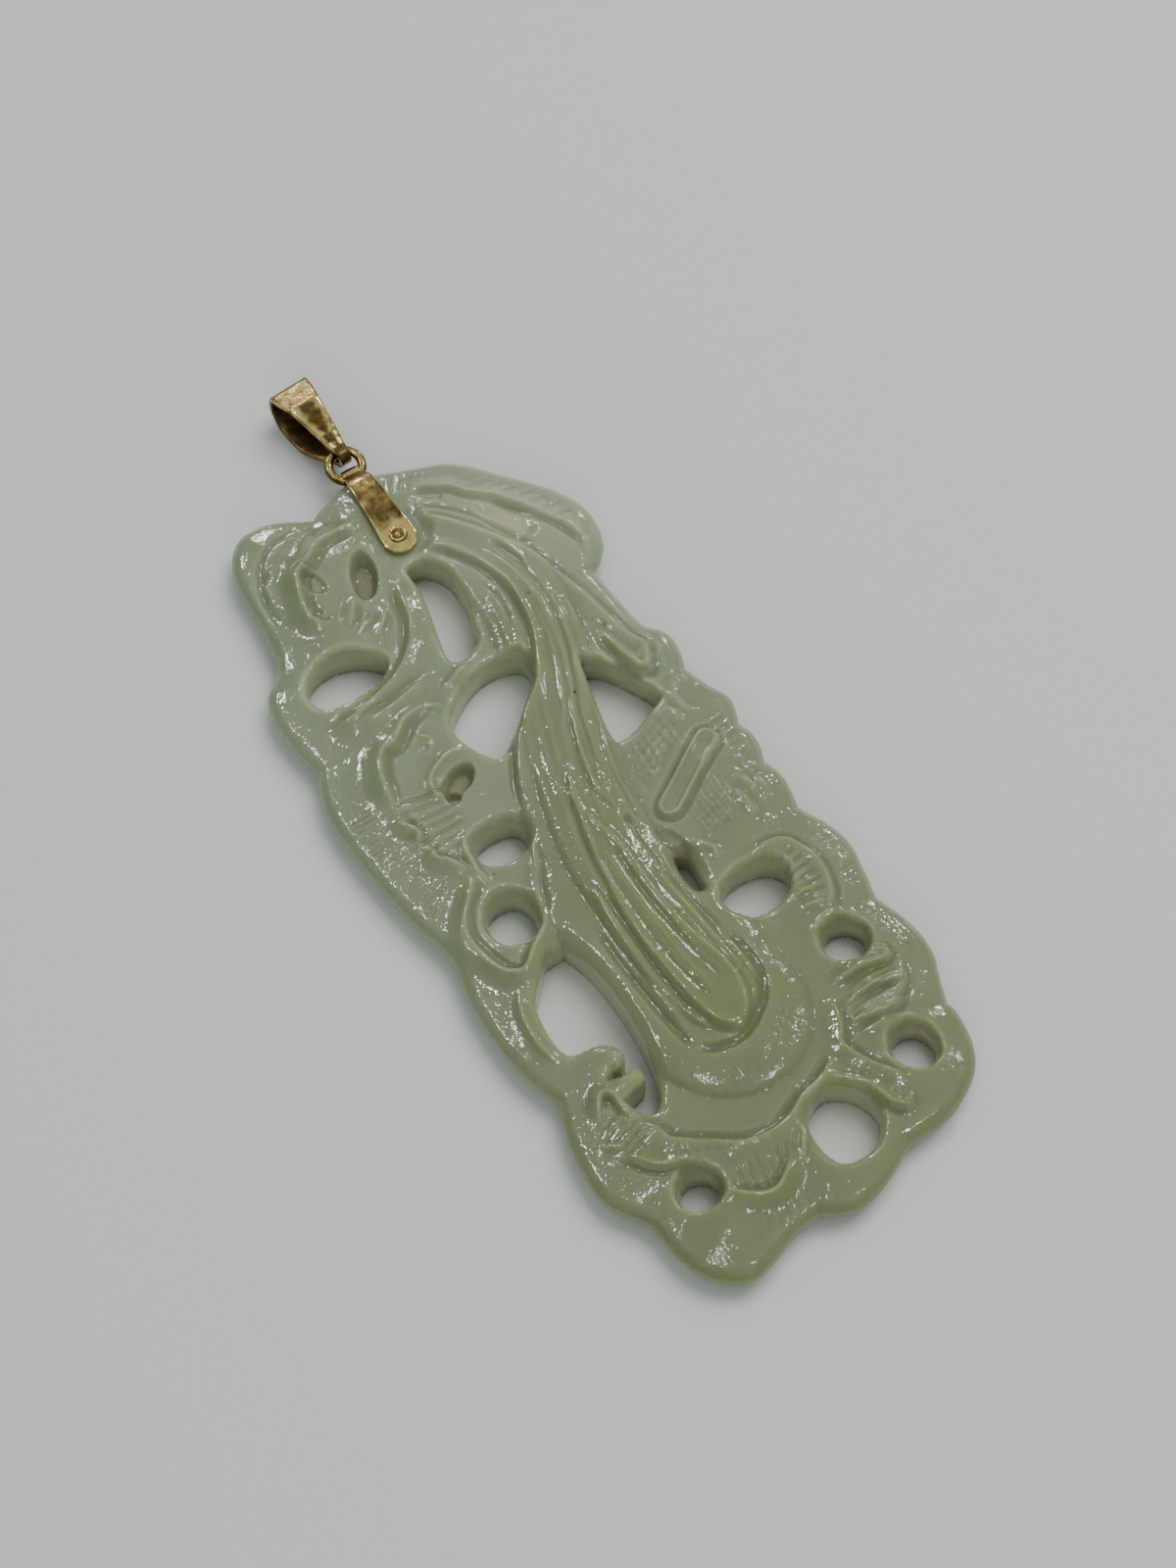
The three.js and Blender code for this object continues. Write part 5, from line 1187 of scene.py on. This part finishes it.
def jadeMaterial():
    look = jadeLook
    material, tree, shader = nodeMaterial("paleJade")
    place = addNode(tree, "ShaderNodeTexCoord").outputs["Object"]

    def noise(scale, detail):
        return noiseNode(tree, place, scale, detail)

    def tinted(colour, mask, share, tint):
        # the tint laid over a colour where the mask shows it, by a share of its strength
        return mixColour(tree, mathNode(tree, "MULTIPLY", mask, share), colour, tint)

    toneNode = addNode(tree, "ShaderNodeVertexColor", {"layer_name": "tone"})
    parts = addNode(tree, "ShaderNodeSeparateColor", {}, {"Color": toneNode.outputs["Color"]})
    wall, thickness, low = parts.outputs[0], parts.outputs[1], parts.outputs[2]
    cloud = rampNode(tree, noise(look["cloudScale"], 3.0), [(0.35, black), (0.65, white)])
    colour = mixColour(tree, cloud, look["pale"], look["grey"])
    colour = mixColour(tree, thickness, colour, look["olive"])
    lengthways = addNode(tree, "ShaderNodeSeparateXYZ", {}, {"Vector": place}).outputs[1]
    towardsEnd = {"Value": lengthways, "From Min": look["lowEndFrom"], "From Max": look["lowEndTo"]}
    lowEnd = addNode(tree, "ShaderNodeMapRange", {}, towardsEnd).outputs["Result"]
    colour = tinted(colour, lowEnd, look["lowEndShare"], look["lowEnd"])
    # painted glow: the thin upper right leaf is made paler, as if light shone through it
    leaf = spotMask(tree, place, *look["paleLeaf"], 0.8)
    colour = tinted(colour, leaf, look["leafGlowShare"], look["leafGlow"])
    # painted glow on the walls of the holes and the pale pockets
    colour = tinted(colour, wall, look["wallGlowShare"], look["wall"])
    # painted shade with dirt: the hollows, grooves and flutes are darkened by their depth
    colour = tinted(colour, low, look["hollowDirtAndShadeShare"], look["grimeAndShade"])
    lines = mathNode(tree, "MAXIMUM", veinLines(tree, place, "veinsA"), veinLines(tree, place, "veinsB"))
    colour = tinted(colour, lines, look["veinShare"], look["grimeAndShade"])
    # browner in the pockets, in patches
    inPocketBrown = addNode(tree, "ShaderNodeAttribute", {"attribute_name": "pocketBrown"}).outputs["Fac"]
    patchy = rampNode(tree, noise(look["pocketBrownScale"], 3.0), [(0.3, look["faintest"]), (0.65, white)])
    colour = tinted(colour, mathNode(tree, "MULTIPLY", inPocketBrown, patchy), look["pocketBrownShare"], look["pocketBrown"])
    dust = mathNode(tree, "GREATER_THAN", noise(look["dustScale"], 1.0), 0.8)
    colour = tinted(colour, dust, look["dustShare"], look["grimeAndShade"])
    for centre, radius, height in look["specks"]:
        speck = spotMask(tree, place, centre, radius, 0.4, height)
        colour = mixColour(tree, speck, colour, look["inclusion"])
    tree.links.new(colour, shader.inputs["Base Color"])
    shader.inputs["Subsurface Weight"].default_value = 0.9
    shader.inputs["Subsurface Radius"].default_value = look["scatter"]
    shader.inputs["Subsurface Scale"].default_value = look["scatterScale"]
    shader.inputs["IOR"].default_value = look["refraction"]
    gloss = noise(look["glossScale"], 2.0)
    rough = mathNode(tree, "MULTIPLY_ADD", gloss, look["roughSpread"], look["roughness"])
    tree.links.new(rough, shader.inputs["Roughness"])
    tool = mathNode(tree, "ADD", noise(look["toolScale"], 2.0), mathNode(tree, "MULTIPLY", lines, -0.8))
    grain = mathNode(tree, "MULTIPLY", noise(look["grainScale"], 1.0), 0.4)
    height = mathNode(tree, "ADD", tool, grain)
    bump = addNode(tree, "ShaderNodeBump", {}, {"Strength": 0.5, "Distance": 0.0001, "Height": height})
    tree.links.new(bump.outputs["Normal"], shader.inputs["Normal"])
    return material


goldLook = {
    # bright gold for rubbed places and for painted sheen and highlights
    "bright": (0.86, 0.66, 0.24, 1),
    "dull": (0.25, 0.175, 0.06, 1),
    "patina": (0.09, 0.055, 0.022, 1),
    "roughness": 0.29,        # of the dull places, and how much smoother the rubbed and painted-sheen ones are
    "rubbedSmoother": 0.14,
    # patterns for each metre: patina, scratches by direction with their turn in radians, and dents
    "patinaScale": 1500.0,
    "scratchScale": (9000.0, 1500.0, 4000.0),
    "scratchTurn": (0, 0, 0.5),
    "dentScale": 2200.0,
}


def goldMaterial():
    look = goldLook
    material, tree, shader = nodeMaterial("wornGold")
    place = addNode(tree, "ShaderNodeTexCoord").outputs["Object"]
    wearAndSheen = addNode(tree, "ShaderNodeAttribute", {"attribute_name": "wearAndSheen"}).outputs["Fac"]
    patches = noiseNode(tree, place, look["patinaScale"], 4.0)
    mottled = rampNode(tree, patches, [(0.35, black), (0.65, white)])
    colour = mixColour(tree, mottled, look["dull"], look["patina"])
    # lighter gold where the wear and painted sheen are strong and the patina thin
    wornAndSheen = mathNode(tree, "MULTIPLY_ADD", wearAndSheen, 1.25, 0.06)
    rubbedAndSheen = mathNode(tree, "MULTIPLY_ADD", mottled, -0.7, wornAndSheen, clamp=True)
    colour = mixColour(tree, rubbedAndSheen, colour, look["bright"])
    tree.links.new(colour, shader.inputs["Base Color"])
    shader.inputs["Metallic"].default_value = 1.0
    rough = mathNode(tree, "MULTIPLY_ADD", rubbedAndSheen, -look["rubbedSmoother"], look["roughness"])
    tree.links.new(rough, shader.inputs["Roughness"])
    stretch = {"Vector": place, "Scale": look["scratchScale"], "Rotation": look["scratchTurn"]}
    stretched = addNode(tree, "ShaderNodeMapping", {}, stretch).outputs["Vector"]
    scratch = noiseNode(tree, stretched, 1.0, 2.0)
    dents = mathNode(tree, "ADD", scratch, noiseNode(tree, place, look["dentScale"], 2.0))
    bump = addNode(tree, "ShaderNodeBump", {}, {"Strength": 0.3, "Distance": 0.00005, "Height": dents})
    tree.links.new(bump.outputs["Normal"], shader.inputs["Normal"])
    return material


def dress(piece, material):
    piece.data.materials.clear()
    piece.data.materials.append(material)


paleJade = jadeMaterial()
wornGold = goldMaterial()
dress(carving, paleJade)
for piece in goldPieces:
    dress(piece, wornGold)
print("materials done")


def makeFloor():
    size = 0.6
    corners = [(-size, -size, 0), (size, -size, 0), (size, size, 0), (-size, size, 0)]
    mesh = bpy.data.meshes.new("floor")
    mesh.from_pydata(corners, [], [(0, 1, 2, 3)])
    floor = bpy.data.objects.new("floor", mesh)
    bpy.context.scene.collection.objects.link(floor)
    material, _, shader = nodeMaterial("paleFloor")
    shader.inputs["Base Color"].default_value = (0.60, 0.64, 0.60, 1)
    shader.inputs["Roughness"].default_value = 0.9
    mesh.materials.append(material)


def makeLight(name, size, power, place, glint):
    # faces the origin; a glint light shows only in reflections, the others only in the soft shading
    data = bpy.data.lights.new(name, "AREA")
    data.shape = "RECTANGLE"
    data.size, data.size_y = size
    data.energy = power
    light = bpy.data.objects.new(name, data)
    light.location = place
    light.rotation_mode = "QUATERNION"
    light.rotation_quaternion = (-Vector(place)).to_track_quat("-Z", "Y")
    light.visible_glossy = glint
    light.visible_diffuse = not glint
    bpy.context.scene.collection.objects.link(light)


# camera as in the photograph: place over the plan, direction, roll and lens
cameraView = {
    "place": (-69.30, -115.97, 250.0),
    "elevation": 60.2,
    "azimuth": 30.5,
    "roll": 4.31,
    "lens": 97.92,
}


def makeCamera():
    data = bpy.data.cameras.new("camera")
    data.sensor_width = 36
    data.lens = cameraView["lens"]
    data.clip_start, data.clip_end = 0.01, 10
    camera = bpy.data.objects.new("camera", data)
    e, a, r = (math.radians(cameraView[k]) for k in ("elevation", "azimuth", "roll"))
    forward = Vector((math.sin(a) * math.cos(e), math.cos(a) * math.cos(e), -math.sin(e)))
    right = forward.cross(Vector((0, 0, 1))).normalized()
    up = right.cross(forward)
    imageRight = math.cos(r) * right - math.sin(r) * up
    imageUp = math.sin(r) * right + math.cos(r) * up
    x, y, z = cameraView["place"]
    matrix = Matrix((imageRight, imageUp, -forward)).transposed().to_4x4()
    matrix.translation = Vector(((x + planShift[0]) * mm, (y + planShift[1]) * mm, z * mm))
    camera.matrix_world = matrix
    bpy.context.scene.collection.objects.link(camera)
    bpy.context.scene.camera = camera


# the large lights shade softly; the small ones give glints on faces that tilt by 15 to 30 degrees
lights = {
    "softKey": {"size": (0.7, 0.7), "power": 7.2, "place": (0.45, 0.1, 0.8), "glint": False},
    "softFill": {"size": (0.8, 0.8), "power": 3.2, "place": (-0.5, -0.7, 0.5), "glint": False},
    "glintFar": {"size": (0.12, 0.03), "power": 1.0, "place": (0.20, 0.73, 0.26), "glint": True},
    "glintLeft": {"size": (0.06, 0.06), "power": 0.9, "place": (-0.42, 0.34, 0.59), "glint": True},
    "glintFarLeft": {"size": (0.07, 0.07), "power": 1.2, "place": (-0.27, 0.62, 0.43), "glint": True},
    "glintNear": {"size": (0.06, 0.04), "power": 0.6, "place": (0.20, -0.43, 0.64), "glint": True},
    "glintRight": {"size": (0.06, 0.06), "power": 0.6, "place": (0.65, 0.34, 0.31), "glint": True},
    "glintNearRight": {"size": (0.05, 0.05), "power": 0.5, "place": (0.59, -0.05, 0.54), "glint": True},
    "glintNearLeft": {"size": (0.05, 0.05), "power": 0.5, "place": (-0.25, -0.11, 0.75), "glint": True},
    "glintTop": {"size": (0.04, 0.03), "power": 0.35, "place": (0.20, 0.55, 0.54), "glint": True},
}

makeFloor()
makeCamera()
for name, light in lights.items():
    makeLight(name, **light)
world = bpy.data.worlds.new("room")
bpy.context.scene.world = world
world.use_nodes = True
# the room is darker near the horizon, so that the gold shows contrast
room = world.node_tree
direction = addNode(room, "ShaderNodeTexCoord").outputs["Generated"]
upwards = addNode(room, "ShaderNodeSeparateXYZ", {}, {"Vector": direction}).outputs[2]
sky = rampNode(room, upwards, [(0.0, (0.14, 0.15, 0.14, 1)), (0.5, (0.3, 0.315, 0.305, 1)),
                               (0.8, (0.6, 0.63, 0.61, 1)), (1.0, (0.62, 0.65, 0.63, 1))])
room.links.new(sky, room.nodes["Background"].inputs["Color"])
room.nodes["Background"].inputs["Strength"].default_value = 0.85
print("lights and camera done")
